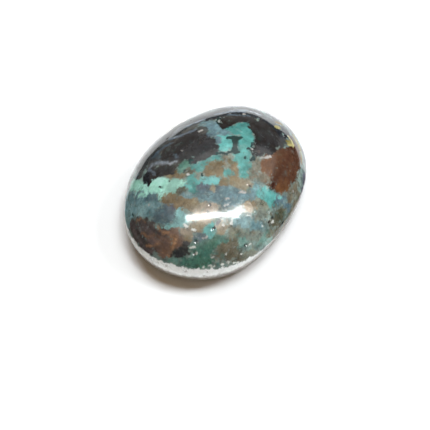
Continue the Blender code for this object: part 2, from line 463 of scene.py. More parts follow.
# %% [markdown]
# ## Where each mineral lies
# Rock has no pattern that repeats, so its patches are laid one by one, the way a set painter marks a
# slab before painting it. Each patch is a chain of round spots: x and y in mm from the crown, seen from
# above, and the half-width in mm. A spot is lifted to the skin, and distances are measured in space, so
# a patch on the steep flank isn't drawn out. The number before a chain is its tint, a place from 0 to 1
# along the mineral's own row of tints, which mostly runs from dark to pale.
#
# The matrix comes first. It is nearly black, in large blocks that are broken by thin seams.

# %% Nearly black matrix
CHARCOAL = (
    (0.30, ((-3.5, 3.8, 0.42), (-3.05, 3.2, 0.55), (-2.75, 2.7, 0.5))),
    (0.45, ((-3.4, 4.2, 0.3), (-2.95, 4.35, 0.35))),
    (0.02, ((-3.6, 4.3, 0.25), (-3.9, 4.15, 0.25), (-4.15, 3.85, 0.2))),
    (0.95, ((-2.5, 4.65, 0.2), (-2.35, 4.0, 0.22), (-2.2, 3.3, 0.2), (-2.3, 2.95, 0.12))),
    (0.72, ((-2.35, 2.5, 0.3), (-1.95, 2.45, 0.25), (-2.75, 2.3, 0.15))),
    (0.85, ((-1.9, 4.55, 0.22), (-1.4, 4.62, 0.24))),
    (0.10, ((-1.65, 4.15, 0.32), (-0.95, 4.05, 0.3))),
    (0.25, ((-1.75, 3.5, 0.6), (-0.9, 3.4, 0.75), (0.1, 3.2, 0.8))),
    (0.52, ((-0.8, 4.35, 0.35), (-0.1, 4.25, 0.35))),
    (0.62, ((0.1, 4.15, 0.3), (0.3, 3.75, 0.3))),
    (0.00, ((0.58, 3.95, 0.14), (0.72, 4.05, 0.12))),
    (0.66, ((1.0, 4.35, 0.4), (1.7, 4.2, 0.4), (1.3, 3.7, 0.4), (2.0, 3.5, 0.35))),
    (0.72, ((2.0, 3.6, 0.4), (2.55, 3.3, 0.3))),
    (0.92, ((0.8, 4.65, 0.2), (1.55, 4.45, 0.26), (2.3, 4.15, 0.2))),
    (0.30, ((0.9, 3.1, 0.5), (1.35, 2.95, 0.4))),
    (0.12, ((0.6, 2.5, 0.5), (0.8, 1.8, 0.45))),
    (0.28, ((-1.15, 2.8, 0.6), (-0.3, 2.5, 0.7), (-0.2, 1.9, 0.7))),
    (0.45, ((-1.5, 2.65, 0.33), (-1.5, 2.25, 0.3))),
    (0.52, ((-1.1, 1.95, 0.35), (-0.75, 1.6, 0.38), (-0.45, 1.3, 0.35))),
    (0.28, ((0.05, 1.25, 0.6), (0.5, 1.25, 0.5))),
    (0.42, ((-1.15, 1.0, 0.28), (-0.55, 0.55, 0.28), (-0.05, 0.62, 0.42), (0.42, 0.6, 0.36))),
    (0.60, ((1.35, 2.25, 0.3), (1.7, 1.95, 0.25), (1.85, 2.35, 0.3))),
    (0.40, ((1.0, 2.2, 0.3), (1.1, 1.6, 0.25), (0.85, 1.1, 0.25))),
    (0.62, ((-3.2, 5.3, 0.42), (-2.2, 5.35, 0.7), (-0.9, 5.2, 0.6), (0.3, 4.95, 0.4), (0.95, 4.95, 0.3))),
    (0.75, ((-1.6, 6.15, 0.5), (0.0, 5.95, 0.6), (1.0, 5.7, 0.5))),
    (0.55, ((1.4, 5.2, 0.5), (2.5, 4.9, 0.5))),
    (0.14, ((2.2, -2.35, 0.24), (2.65, -2.75, 0.28), (3.0, -3.05, 0.22))),
    (0.15, ((1.8, 4.0, 0.2), (2.5, 4.15, 0.3), (3.0, 3.6, 0.35), (3.9, 2.7, 0.4))),
    (0.60, ((3.4, 3.95, 0.3), (4.1, 3.4, 0.3))),
    (0.25, ((3.9, 2.6, 0.4), (4.7, 1.8, 0.42), (5.6, 0.6, 0.35), (6.1, -0.3, 0.35))),
    (0.55, ((4.6, 3.0, 0.3), (5.1, 2.6, 0.33), (5.7, 1.7, 0.3))),
    (0.10, ((5.8, 2.7, 0.4), (6.9, 2.4, 0.6), (7.4, 1.4, 0.5))),
    (0.72, ((6.6, 1.4, 0.3), (6.75, 0.6, 0.36), (6.7, -0.1, 0.3))),
    (0.05, ((2.95, 0.95, 0.42), (3.5, 0.85, 0.5), (3.95, 1.3, 0.3))),
    (0.08, ((3.75, 0.8, 0.3), (4.15, 0.72, 0.28), (4.5, 0.45, 0.14))),
    (0.45, ((4.35, 1.35, 0.27), (4.5, 0.85, 0.25), (4.75, 0.4, 0.2))),
    (0.15, ((4.12, 0.52, 0.28), (4.6, 0.2, 0.24), (4.95, 0.0, 0.2))),
    (0.38, ((5.0, 0.6, 0.3), (5.35, 0.05, 0.35))),
    (0.10, ((4.95, -0.55, 0.35), (4.45, -0.95, 0.36), (3.95, -1.4, 0.25))),
    (0.08, ((5.0, -1.4, 0.6), (4.2, -1.95, 0.55), (3.3, -2.35, 0.45))),
    (0.14, ((5.3, -2.3, 0.6), (4.4, -2.75, 0.5), (3.6, -2.85, 0.42), (2.85, -2.6, 0.3))),
    (0.62, ((5.25, -3.15, 0.33), (4.6, -3.3, 0.2))),
    (0.22, ((5.9, -1.3, 0.5), (5.85, -2.0, 0.4))),
    (0.72, ((6.35, -0.95, 0.4), (6.6, -1.45, 0.3))),
    (0.78, ((7.5, -1.1, 0.5), (8.1, -0.5, 0.4))),
    (0.15, ((6.4, -2.95, 0.35), (6.65, -2.5, 0.25))),
    (0.55, ((-7.95, -1.15, 0.27), (-7.6, -1.5, 0.25))),
    (0.35, ((-7.35, -1.2, 0.13), (-7.3, -1.45, 0.14))),
)
# thin seams and specks of the matrix, with a bone-shaped bar across the brightest turquoise; some specks are
# painted shade inside small pits, next to the painted highlights of their lips
SEAMS_AND_PIT_SHADE = (
    (0.55, ((0.95, -1.2, 0.24), (1.5, -0.88, 0.21), (2.2, -0.45, 0.27))),
    (0.25, ((1.85, 0.06, 0.12), (2.18, -0.44, 0.22), (2.58, -0.86, 0.14))),
    (0.30, ((0.85, -1.0, 0.1), (1.15, -1.45, 0.12))),
    (0.20, ((0.0, -0.1, 0.1), (0.2, -0.35, 0.16), (0.35, -0.75, 0.14))),
    (0.30, ((0.6, -0.75, 0.1), (0.75, -0.9, 0.08))),
    (0.10, ((1.1, -2.55, 0.12), (1.35, -2.6, 0.2))),
    (0.20, ((0.9, -2.08, 0.08), (1.1, -2.1, 0.07))),
    (0.05, ((1.8, -1.78, 0.1), (2.0, -1.9, 0.1))),
    (0.15, ((2.45, -1.9, 0.1), (2.65, -1.8, 0.09))),
    (0.70, ((2.05, -2.35, 0.1), (2.3, -2.6, 0.16))),
    (0.10, ((-4.42, 2.5, 0.08), (-4.36, 2.68, 0.07))),
    (0.50, ((-3.75, 2.2, 0.08), (-3.8, 2.1, 0.06))),
    (0.40, ((-2.75, 1.4, 0.07), (-2.55, 1.35, 0.1))),
    (0.20, ((-1.8, 1.4, 0.07), (-1.55, 1.5, 0.1), (-1.45, 1.3, 0.09))),
    (0.10, ((3.1, 1.55, 0.12), (3.3, 1.9, 0.09), (3.8, 1.95, 0.14))),
    (0.10, ((-2.4, -0.15, 0.09), (-2.3, 0.0, 0.08))),
    (0.05, ((-5.45, -2.88, 0.09), (-5.38, -2.95, 0.08))),
    (0.05, ((-4.95, -2.98, 0.12), (-4.75, -3.05, 0.1))),
    (0.60, ((-7.48, -2.32, 0.09), (-7.42, -2.4, 0.09))),
    (0.60, ((-6.92, -2.12, 0.08), (-6.88, -2.2, 0.08))),
    (0.60, ((-4.15, -1.83, 0.1),)),
    (0.70, ((-0.98, -3.6, 0.07), (-0.88, -3.6, 0.08))),
    (0.60, ((-4.55, -5.32, 0.09), (-4.42, -5.36, 0.07))),
    (0.50, ((-1.25, -5.85, 0.08), (-1.1, -5.9, 0.07))),
    (0.90, ((-1.75, -5.85, 0.06), (-1.6, -5.85, 0.06))),
    (0.80, ((-1.85, -6.0, 0.06), (-1.75, -6.03, 0.05))),
    (0.60, ((-0.8, -6.45, 0.06), (-0.3, -6.42, 0.07))),
    (0.30, ((-8.87, 0.85, 0.1), (-8.8, 0.7, 0.08))),
    (0.20, ((-6.0, 4.62, 0.08),)),
    (0.20, ((-6.32, 4.08, 0.1), (-6.5, 3.9, 0.08))),
    (0.30, ((-7.76, -3.6, 0.09),)),
    (0.70, ((-7.03, -4.45, 0.08), (-6.93, -4.56, 0.06))),
)
print("matrix:", len(CHARCOAL), "patches and", len(SEAMS_AND_PIT_SHADE), "seams")

# %% [markdown]
# Water that carried copper filled the cracks of the matrix with turquoise. A vein swells and pinches,
# which a chain of spots of different widths follows. A noise would do the same at random, but then the
# bright blue, which the eye goes to first, would lie anywhere.

# %% Bright turquoise veins
TURQUOISE = (
    (0.18, ((3.0, 0.07, 0.47), (3.8, -0.15, 0.42), (4.25, -0.3, 0.23))),
    (0.28, ((3.6, -0.68, 0.38), (3.0, -1.15, 0.37), (2.3, -1.38, 0.33))),
    (0.35, ((1.9, -1.4, 0.33), (1.5, -1.65, 0.35), (0.8, -1.95, 0.38), (0.3, -2.3, 0.42))),
    (0.25, ((0.2, -2.5, 0.35), (-0.4, -2.75, 0.28))),
    (0.50, ((0.85, -0.05, 0.26), (1.2, -0.2, 0.42), (1.7, -0.05, 0.42), (1.8, 0.3, 0.42))),
    (0.15, ((2.85, 0.6, 0.33), (2.95, 0.95, 0.15))),
    (0.30, ((0.35, -1.5, 0.22), (0.65, -1.6, 0.25))),
    (0.50, ((-0.9, -4.3, 0.28), (-0.5, -4.7, 0.36), (-0.3, -5.1, 0.36))),
    (0.62, ((0.0, -5.3, 0.2), (0.35, -5.5, 0.18))),
    (0.30, ((-1.95, 0.5, 0.27), (-1.65, 0.45, 0.27), (-1.3, 0.2, 0.14))),
    (0.12, ((-0.78, 0.1, 0.14), (-0.55, -0.12, 0.12), (-0.4, -0.5, 0.1))),
    (0.72, ((-2.75, -0.3, 0.18), (-2.6, -0.8, 0.26), (-2.2, -1.25, 0.24))),
    (0.30, ((-1.1, -1.7, 0.25), (-0.95, -1.95, 0.12))),
    (0.82, ((-6.2, -0.15, 0.3), (-5.8, 0.02, 0.26), (-5.45, 0.1, 0.16))),
    (0.80, ((-6.2, -0.2, 0.28), (-6.25, -0.5, 0.2))),
    (0.62, ((-5.75, -2.65, 0.33), (-5.45, -2.75, 0.28))),
    (0.05, ((-3.8, -0.15, 0.27), (-3.5, 0.0, 0.22))),
    (0.30, ((-3.1, 0.5, 0.27), (-2.9, 0.2, 0.27))),
    (0.62, ((-3.65, 0.7, 0.2), (-3.7, 0.2, 0.2))),
    (0.78, ((-7.2, 1.2, 0.06), (-6.98, 0.65, 0.07), (-6.65, 0.2, 0.08), (-6.35, -0.15, 0.12))),
)
print("turquoise:", len(TURQUOISE), "patches")

# %% [markdown]
# In places a vein is paler and greener, almost chalky. These patches lie inside the turquoise, so they
# are a list of their own that is laid over it.

# %% Pale mint turquoise
MINT = (
    (0.75, ((-4.5, 3.2, 0.5), (-4.3, 2.6, 0.46), (-4.35, 2.3, 0.38))),
    (1.00, ((-3.98, 3.4, 0.25), (-3.88, 2.8, 0.2), (-3.8, 2.4, 0.14))),
    (1.00, ((-4.4, 3.95, 0.22), (-4.6, 3.9, 0.2))),
    (0.42, ((-4.6, 4.2, 0.28), (-4.36, 4.7, 0.3), (-4.05, 5.25, 0.32), (-3.85, 5.5, 0.25))),
    (0.30, ((-3.9, 1.8, 0.32), (-3.72, 1.4, 0.27), (-3.6, 0.9, 0.2))),
    (0.20, ((-4.45, 1.75, 0.3), (-4.35, 1.3, 0.25))),
    (0.60, ((-4.8, 2.25, 0.25), (-5.05, 2.12, 0.2))),
    (0.90, ((-4.9, 3.55, 0.25),)),
    (0.50, ((-5.0, 3.85, 0.26), (-5.1, 4.15, 0.24))),
)
print("mint:", len(MINT), "patches")

# %% [markdown]
# Round the veins the rock is only tinted, grey-blue in some places and green in others. Here the colours
# grade into each other, so these patches are broad and will be given soft edges.

# %% Slate blue and sea green stone
SLATE = (
    (0.30, ((-6.35, 1.5, 0.5), (-6.0, 1.3, 0.45))),
    (0.50, ((-6.5, 0.8, 0.35), (-6.2, 0.5, 0.35))),
    (0.00, ((-5.95, 0.85, 0.25), (-5.65, 0.72, 0.2))),
    (0.72, ((-6.15, 2.25, 0.45), (-5.7, 2.05, 0.3))),
    (0.90, ((-6.25, 3.0, 0.4), (-6.1, 3.5, 0.42), (-5.6, 3.85, 0.35), (-5.0, 4.0, 0.3))),
    (0.98, ((-5.8, 2.9, 0.2), (-5.8, 2.6, 0.14))),
    (0.30, ((-5.45, 3.25, 0.3), (-5.3, 2.8, 0.25), (-5.4, 2.4, 0.2))),
    (0.80, ((-5.0, 3.4, 0.25), (-5.05, 2.8, 0.2))),
    (0.60, ((-5.35, 4.75, 0.28), (-5.0, 5.0, 0.3))),
    (0.80, ((-6.25, 4.15, 0.25), (-6.0, 4.55, 0.25), (-5.6, 4.85, 0.2))),
    (0.35, ((-5.35, 4.3, 0.14), (-4.95, 4.4, 0.16))),
    (0.62, ((-3.4, 5.45, 0.16), (-3.0, 5.4, 0.22), (-2.7, 5.1, 0.15))),
    (0.75, ((-4.7, 5.7, 0.3), (-5.4, 5.3, 0.33), (-6.2, 4.75, 0.3), (-6.75, 4.2, 0.2))),
    (0.00, ((4.5, -5.75, 0.2), (3.8, -6.05, 0.22), (3.0, -6.3, 0.2))),
    (0.60, ((-3.85, -0.9, 0.35), (-3.65, -1.4, 0.42), (-3.4, -1.95, 0.35))),
    (0.15, ((-3.3, -0.45, 0.3), (-3.2, -0.9, 0.3))),
    (0.70, ((-2.8, -2.1, 0.35), (-2.45, -2.45, 0.3))),
    (0.35, ((-2.9, -1.8, 0.22), (-2.6, -1.95, 0.2))),
    (0.62, ((-3.0, -2.8, 0.4), (-2.2, -3.2, 0.5), (-1.9, -3.8, 0.3))),
    (0.72, ((-1.35, -4.2, 0.35), (-0.8, -4.1, 0.35))),
    (0.90, ((-3.8, -4.3, 0.35), (-3.4, -4.8, 0.3))),
    (0.70, ((-3.0, -5.2, 0.3), (-2.6, -5.5, 0.3))),
    (0.25, ((1.25, 1.6, 0.22), (1.65, 1.6, 0.25))),
    (0.68, ((2.25, 0.6, 0.5), (2.1, 1.1, 0.42), (2.4, 1.6, 0.4))),
    (0.45, ((1.15, 0.45, 0.2), (1.5, 0.6, 0.25))),
    (0.60, ((2.4, 1.6, 0.4), (2.65, 2.2, 0.3), (2.6, 2.8, 0.2))),
    (0.45, ((0.15, -5.45, 0.26), (0.6, -5.85, 0.2), (0.95, -6.2, 0.13))),
    (0.35, ((-6.55, -2.25, 0.3), (-6.3, -2.55, 0.22))),
    (0.80, ((-4.45, 0.25, 0.22), (-4.3, -0.15, 0.2))),
)
SEA_GREEN = (
    (0.90, ((-8.5, -0.9, 0.2), (-8.35, -1.4, 0.25))),
    (0.30, ((-8.1, -2.0, 0.3), (-7.85, -2.6, 0.35), (-7.5, -2.95, 0.35))),
    (0.45, ((-7.0, -2.9, 0.5), (-6.6, -3.1, 0.45))),
    (0.08, ((-6.25, -3.3, 0.3), (-5.9, -3.45, 0.25))),
    (0.60, ((-7.2, -2.2, 0.3), (-6.8, -2.5, 0.3))),
    (0.80, ((-5.8, -3.75, 0.3), (-5.5, -4.0, 0.2))),
    (0.90, ((-4.7, -4.95, 0.25), (-4.4, -5.1, 0.2))),
    (0.00, ((-7.5, -3.25, 0.1), (-7.35, -3.4, 0.1))),
    (0.95, ((-3.0, -6.1, 0.3), (-2.5, -6.3, 0.25))),
    (0.35, ((-2.75, 1.65, 0.2), (-2.4, 1.85, 0.22), (-2.0, 1.75, 0.2))),
)
print("slate and sea green:", len(SLATE) + len(SEA_GREEN), "patches")

# %% [markdown]
# Iron stains rock a dull brown-grey. It is the quiet colour between the others, and its patches lie
# lowest.

# %% Taupe stone, where iron has stained the rock
TAUPE = (
    (0.50, ((-6.3, -4.0, 0.3), (-5.7, -4.1, 0.37), (-5.2, -4.6, 0.42))),
    (0.25, ((-5.9, -4.6, 0.3), (-5.5, -4.9, 0.25))),
    (0.00, ((-5.5, -5.2, 0.14), (-5.2, -5.15, 0.12))),
    (0.75, ((-4.6, -4.2, 0.27), (-4.3, -4.4, 0.25))),
    (0.80, ((-5.0, -5.6, 0.3), (-4.4, -5.9, 0.25))),
    (1.00, ((-4.2, -4.8, 0.27), (-3.7, -5.3, 0.33), (-3.2, -5.7, 0.3))),
    (0.95, ((-2.2, -5.3, 0.4), (-1.5, -5.2, 0.4))),
    (0.12, ((-1.4, -6.1, 0.28), (-0.5, -6.12, 0.32), (0.25, -6.1, 0.26))),
    (0.72, ((-2.35, -6.2, 0.2), (-1.9, -6.3, 0.15))),
    (0.35, ((2.75, -5.85, 0.22), (2.0, -5.93, 0.24), (1.3, -6.05, 0.25))),
    (0.42, ((2.75, -6.2, 0.2), (2.0, -6.3, 0.2), (1.3, -6.42, 0.2))),
    (0.50, ((0.9, -6.45, 0.22), (0.4, -6.55, 0.24), (-0.3, -6.7, 0.22), (-1.1, -6.75, 0.2))),
    (0.25, ((-1.3, -6.45, 0.2), (-2.0, -6.6, 0.15))),
    (0.40, ((0.0, -3.2, 0.3), (0.35, -3.15, 0.3))),
    (0.60, ((0.8, -3.3, 0.3), (1.2, -3.15, 0.25))),
    (0.42, ((0.6, -3.9, 0.35), (0.9, -4.25, 0.3))),
    (0.00, ((-4.3, 0.98, 0.24), (-3.95, 0.7, 0.2))),
    (0.10, ((-2.6, 1.3, 0.15), (-2.5, 0.9, 0.2))),
    (0.80, ((-0.6, -1.3, 0.18),)),
    (0.15, ((-0.2, -0.85, 0.2), (-0.1, -1.1, 0.15))),
    (0.95, ((0.35, -1.15, 0.2),)),
    (0.55, ((-1.45, -4.55, 0.25), (-1.2, -5.0, 0.27))),
    (0.95, ((-2.5, 0.25, 0.22), (-2.9, -0.05, 0.15))),
)
print("taupe:", len(TAUPE), "patches")

# %% [markdown]
# Pyrite grows as small cubes. Massed and polished they read as a bronze patch. Single cubes would be
# lost at this size, so one patch stands for many of them.

# %% Bronze pyrite
BRONZE = (
    (0.42, ((-2.0, -0.5, 0.24), (-1.4, -0.22, 0.27), (-1.1, -0.75, 0.3), (-1.45, -0.9, 0.3))),
    (0.20, ((-1.15, -0.15, 0.17), (-0.97, -0.45, 0.15))),
    (0.00, ((-0.85, -0.7, 0.11), (-0.83, -1.0, 0.1))),
    (0.75, ((-1.5, -1.1, 0.2),)),
    (0.22, ((-0.05, -1.25, 0.16), (-0.15, -1.55, 0.2))),
    (0.65, ((-0.35, -1.9, 0.22), (-0.6, -2.1, 0.22))),
    (0.45, ((-1.95, -1.9, 0.27),)),
    (0.60, ((-1.5, -2.2, 0.18), (-1.15, -2.45, 0.18))),
    (0.80, ((-1.35, -3.0, 0.35), (-1.1, -3.3, 0.33))),
    (0.42, ((-5.15, 1.65, 0.26), (-4.95, 1.25, 0.3))),
    (0.28, ((-5.0, 1.0, 0.24),)),
    (0.46, ((-5.15, 0.45, 0.33), (-4.95, 0.0, 0.33))),
    (0.62, ((-4.8, -0.25, 0.3), (-4.65, -0.8, 0.3))),
    (0.95, ((-4.85, -1.2, 0.33), (-4.45, -1.7, 0.28), (-4.1, -2.1, 0.15))),
    (0.50, ((-3.15, 1.8, 0.22), (-3.12, 1.45, 0.2))),
    (0.02, ((-2.93, 2.1, 0.16), (-3.1, 2.05, 0.12))),
    (0.85, ((-3.4, 2.25, 0.17), (-3.47, 2.5, 0.12))),
    (0.28, ((-3.15, 1.27, 0.14),)),
    (0.70, ((-6.05, -1.6, 0.25), (-5.85, -1.95, 0.25))),
    (0.90, ((-5.5, -2.15, 0.25), (-5.3, -2.3, 0.15))),
    (1.00, ((-6.8, -0.95, 0.2), (-6.65, -1.35, 0.2))),
    (0.60, ((-7.0, -1.35, 0.2),)),
    (0.80, ((-5.1, -3.35, 0.27), (-4.85, -3.6, 0.2))),
    (0.85, ((-2.95, -1.4, 0.2),)),
    (0.55, ((-2.2, -4.3, 0.3), (-1.8, -4.5, 0.26))),
)
print("bronze:", len(BRONZE), "patches")

# %% [markdown]
# Pyrite rusts to chestnut and umber at its edges and stays gold where the polish cut it clean; its palest,
# near-white gold is a painted glint. The chips are small pale marks, many of them painted glints where tiny
# faces catch the lamps, and painted highlights on the lips of pits. They are the smallest marks, and make
# the stone look its real size.

# %% Chestnut and umber iron stain, gold pyrite with painted glints, and pale chips with painted glints
CHESTNUT = (
    (0.75, ((1.3, -3.7, 0.33), (1.9, -3.7, 0.4), (2.4, -3.5, 0.3))),
    (0.50, ((2.6, -4.0, 0.4), (3.3, -4.0, 0.4), (4.1, -4.1, 0.4))),
    (0.40, ((1.8, -4.8, 0.5), (2.8, -4.7, 0.6), (3.8, -4.5, 0.5), (4.7, -4.2, 0.4))),
    (0.72, ((1.1, -5.2, 0.33), (1.8, -5.35, 0.3), (2.6, -5.2, 0.3))),
    (0.00, ((0.75, -4.75, 0.1), (1.3, -4.45, 0.13), (1.75, -4.3, 0.1))),
    (0.42, ((3.0, -5.35, 0.26), (4.2, -5.0, 0.32), (5.2, -4.55, 0.34), (5.8, -4.25, 0.22))),
    (1.00, ((0.85, -4.15, 0.27), (1.45, -4.12, 0.27))),
    (0.10, ((5.4, -4.0, 0.2), (6.0, -3.9, 0.2), (6.35, -3.4, 0.2))),
)
UMBER = (
    (0.30, ((-8.4, 1.3, 0.25), (-8.0, 2.3, 0.35), (-7.5, 3.1, 0.4), (-7.05, 3.7, 0.3))),
    (0.20, ((-7.0, 3.0, 0.28), (-7.2, 2.4, 0.42), (-7.5, 2.2, 0.4))),
    (0.40, ((-7.4, 1.6, 0.45), (-7.85, 1.3, 0.4))),
    (0.30, ((-7.2, 0.8, 0.3), (-7.4, 0.5, 0.3))),
    (0.60, ((-8.05, 0.6, 0.38), (-7.8, 0.1, 0.4))),
    (0.80, ((-8.3, 0.05, 0.23), (-8.1, -0.25, 0.25))),
    (0.78, ((-7.2, -0.15, 0.3), (-7.1, -0.45, 0.27))),
    (1.00, ((-8.05, -0.35, 0.09), (-7.8, -0.55, 0.1), (-7.5, -0.6, 0.07))),
    (0.62, ((-7.6, -0.9, 0.3), (-7.2, -0.9, 0.25))),
    (0.70, ((-7.5, 1.3, 0.07), (-7.65, 0.8, 0.08), (-7.6, 0.3, 0.07))),
)
# gold pyrite, whose palest tints are painted glints
GOLD_AND_GLINTS = (
    (0.95, ((5.2, -3.73, 0.1), (5.85, -3.86, 0.12), (6.1, -3.5, 0.12), (6.2, -3.15, 0.1))),
    (0.85, ((5.75, -3.95, 0.1), (5.5, -4.05, 0.08))),
    (0.15, ((5.7, -3.55, 0.18), (5.4, -3.45, 0.12))),
    (0.35, ((6.3, -2.2, 0.22), (6.1, -2.05, 0.17))),
    (0.30, ((6.3, -4.3, 0.22), (6.7, -3.95, 0.27), (7.1, -3.25, 0.22))),
    (0.00, ((6.0, -4.55, 0.17), (5.5, -4.85, 0.14), (5.1, -5.1, 0.1))),
    (0.05, ((7.1, -2.0, 0.2), (6.8, -1.7, 0.15))),
)
# pale chips: painted glints on tiny faces, and painted highlights on the lips of pits
CHIPS_AND_GLINTS = (
    (0.45, ((1.85, -3.02, 0.07), (2.25, -3.27, 0.1), (2.7, -3.5, 0.07))),
    (0.95, ((-6.3, -0.75, 0.12), (-6.35, -1.0, 0.14))),
    (0.60, ((-2.78, 1.0, 0.11),)),
    (0.30, ((-0.92, 2.65, 0.08),)),
    (0.30, ((1.58, 2.52, 0.12), (1.72, 2.42, 0.08))),
    (0.60, ((2.12, -2.1, 0.11),)),
    (0.50, ((3.38, 1.72, 0.08), (3.5, 1.8, 0.06))),
    (0.25, ((5.5, 0.6, 0.16),)),
    (0.80, ((-7.32, -1.9, 0.09), (-7.1, -2.25, 0.11))),
    (0.95, ((-7.35, -2.48, 0.09),)),
    (0.95, ((-6.78, -2.25, 0.08),)),
    (0.85, ((-6.32, -1.5, 0.07), (-6.25, -1.72, 0.06))),
    (0.75, ((-6.1, -4.4, 0.07), (-5.95, -4.45, 0.06))),
    (0.90, ((-6.25, -4.75, 0.09),)),
    (0.90, ((-5.15, -5.3, 0.09),)),
    (0.80, ((-4.35, -5.46, 0.09), (-4.15, -5.52, 0.08))),
    (0.80, ((-2.45, -5.66, 0.08), (-2.32, -5.74, 0.06))),
    (0.70, ((-1.52, -5.98, 0.07), (-1.3, -6.02, 0.06))),
    (0.45, ((2.2, -5.9, 0.1),)),
    (0.75, ((-4.75, -3.4, 0.12),)),
    (0.75, ((-4.25, -3.85, 0.12), (-4.0, -3.72, 0.08))),
    (0.70, ((-3.5, -2.85, 0.08), (-3.35, -3.0, 0.06))),
    (0.50, ((-3.05, -2.7, 0.06), (-2.9, -2.85, 0.05))),
    (0.50, ((-2.55, -3.35, 0.06), (-2.35, -3.3, 0.05))),
    (0.50, ((-1.9, -3.2, 0.07), (-1.6, -3.55, 0.06))),
    (0.50, ((-6.2, -2.7, 0.08), (-6.35, -2.5, 0.06))),
    (0.40, ((-5.8, 2.8, 0.12),)),
    (0.80, ((-7.66, -3.28, 0.05),)),
    (0.95, ((-7.35, -3.62, 0.07), (-7.28, -3.72, 0.06))),
    (0.85, ((-7.12, -3.98, 0.06),)),
    (1.00, ((-6.7, -4.4, 0.07), (-6.62, -4.48, 0.05))),
    (0.95, ((-5.95, -5.08, 0.05), (-5.6, -5.34, 0.05))),
    (0.60, ((-6.9, -3.6, 0.05), (-6.75, -3.75, 0.05))),
)
print("stains, gold and chips:", len(CHESTNUT) + len(UMBER) + len(GOLD_AND_GLINTS) + len(CHIPS_AND_GLINTS), "patches")

# %% [markdown]
# Along the far rim, pale streaks are painted in as a painted reflection of the bright floor that the rim
# mirrors. Wisps are thin threads of grey-blue stone and of brown. The coarse places have no colour of their
# own: there the polish is broken, so they are used for the relief alone.

# %% A painted reflection along the far rim, thin wisps and coarse grains
# pale streaks along the far rim: a painted reflection of the bright floor
PAINTED_RIM_REFLECTION = (
    (0.62, ((-4.6, 5.95, 0.25), (-3.6, 6.2, 0.35), (-2.0, 6.45, 0.45), (-0.3, 6.35, 0.5), (1.0, 6.0, 0.55))),
    (0.60, ((1.0, 6.0, 0.55), (2.7, 5.45, 0.6), (4.1, 4.8, 0.65), (5.4, 4.0, 0.65))),
    (0.50, ((5.4, 4.0, 0.65), (6.6, 2.95, 0.65), (7.4, 1.7, 0.6), (7.8, 0.3, 0.55))),
    (0.60, ((7.8, 0.3, 0.55), (7.95, -1.2, 0.5), (7.7, -2.4, 0.45), (7.3, -3.2, 0.4), (6.85, -3.85, 0.35))),
    (0.05, ((6.9, -4.0, 0.3), (6.2, -4.75, 0.27), (5.5, -5.3, 0.25), (4.9, -5.65, 0.2))),
)
# thin wisps of grey-blue stone drawn through the black matrix and the umber
WISPS = (
    (0.75, ((-3.0, 4.55, 0.09), (-2.45, 4.45, 0.13), (-2.3, 3.95, 0.14), (-2.28, 3.5, 0.12))),
    (0.80, ((-2.28, 3.5, 0.11), (-2.28, 2.95, 0.1), (-2.0, 2.55, 0.09))),
    (0.42, ((-1.75, 5.0, 0.18), (-1.5, 4.7, 0.22), (-1.75, 4.3, 0.18))),
    (0.65, ((-3.05, 4.35, 0.08), (-3.2, 4.0, 0.1), (-3.35, 3.7, 0.07))),
    (0.52, ((-1.2, 4.75, 0.1), (-0.6, 4.4, 0.11), (-0.2, 3.95, 0.08))),
    (0.62, ((0.25, 4.5, 0.1), (0.65, 3.85, 0.12), (1.15, 3.4, 0.12), (1.7, 2.95, 0.08))),
    (0.72, ((1.8, 4.1, 0.1), (2.6, 3.5, 0.12), (3.2, 3.05, 0.1))),
    (0.50, ((-1.4, 2.95, 0.07), (-1.65, 2.7, 0.07))),
    (0.10, ((-6.9, 3.3, 0.08), (-6.75, 2.9, 0.1), (-6.95, 2.5, 0.07))),
    (0.00, ((-7.1, 1.2, 0.07), (-7.35, 0.65, 0.09), (-7.2, 0.2, 0.07))),
    (0.10, ((-7.6, 2.4, 0.07), (-7.8, 1.8, 0.08), (-7.6, 1.3, 0.07))),
    (0.05, ((-8.2, 1.6, 0.06), (-8.15, 1.0, 0.07), (-8.0, 0.7, 0.06))),
    (0.00, ((-7.3, -0.1, 0.06), (-7.55, -0.45, 0.07), (-7.9, -0.6, 0.06))),
    (0.65, ((4.3, 2.6, 0.1), (5.2, 1.7, 0.12), (5.9, 0.7, 0.1))),
    (0.85, ((5.5, 1.8, 0.1), (6.2, 0.8, 0.12), (6.5, -0.4, 0.1))),
    (0.50, ((4.6, 1.6, 0.08), (5.0, 0.9, 0.1), (5.5, 0.2, 0.08))),
    (0.90, ((5.9, 2.6, 0.1), (6.9, 1.6, 0.14), (7.3, 0.3, 0.1))),
)
# where the polish is broken by coarse grains of pyrite; the number is how strongly
COARSE = (
    (1.0, ((-2.3, -3.7, 0.5), (-2.35, -4.3, 0.6), (-2.45, -4.9, 0.5))),
    (0.5, ((-2.5, -2.2, 0.35), (-2.9, -2.9, 0.35))),
    (0.6, ((-4.4, -3.2, 0.35), (-4.1, -4.0, 0.35))),
    (1.0, ((-7.4, -3.2, 0.3), (-6.7, -4.0, 0.4), (-5.9, -4.9, 0.4))),
)
print("rind, wisps and coarse places:", len(PAINTED_RIM_REFLECTION) + len(WISPS) + len(COARSE), "patches")

# %% [markdown]
# The foot is ground through the paler host rock that the vein grew in. Its upper edge rises towards the side
# that faces the camera, and there it is also painted paler: painted light for the bright band that the foot
# shows on that side. So it is described by a height that changes with the bearing.

# %% Where the host rock and its painted light end
# towards the camera the rock band is painted higher and paler, as painted light
ROCK_LOWEST, PAINTED_LIGHT_RISE = 0.85, 1.07  # height of its edge round most of the stone, and its rise at one side
PAINTED_LIGHT_BEARING, PAINTED_LIGHT_SPREAD = math.radians(195), math.radians(57)

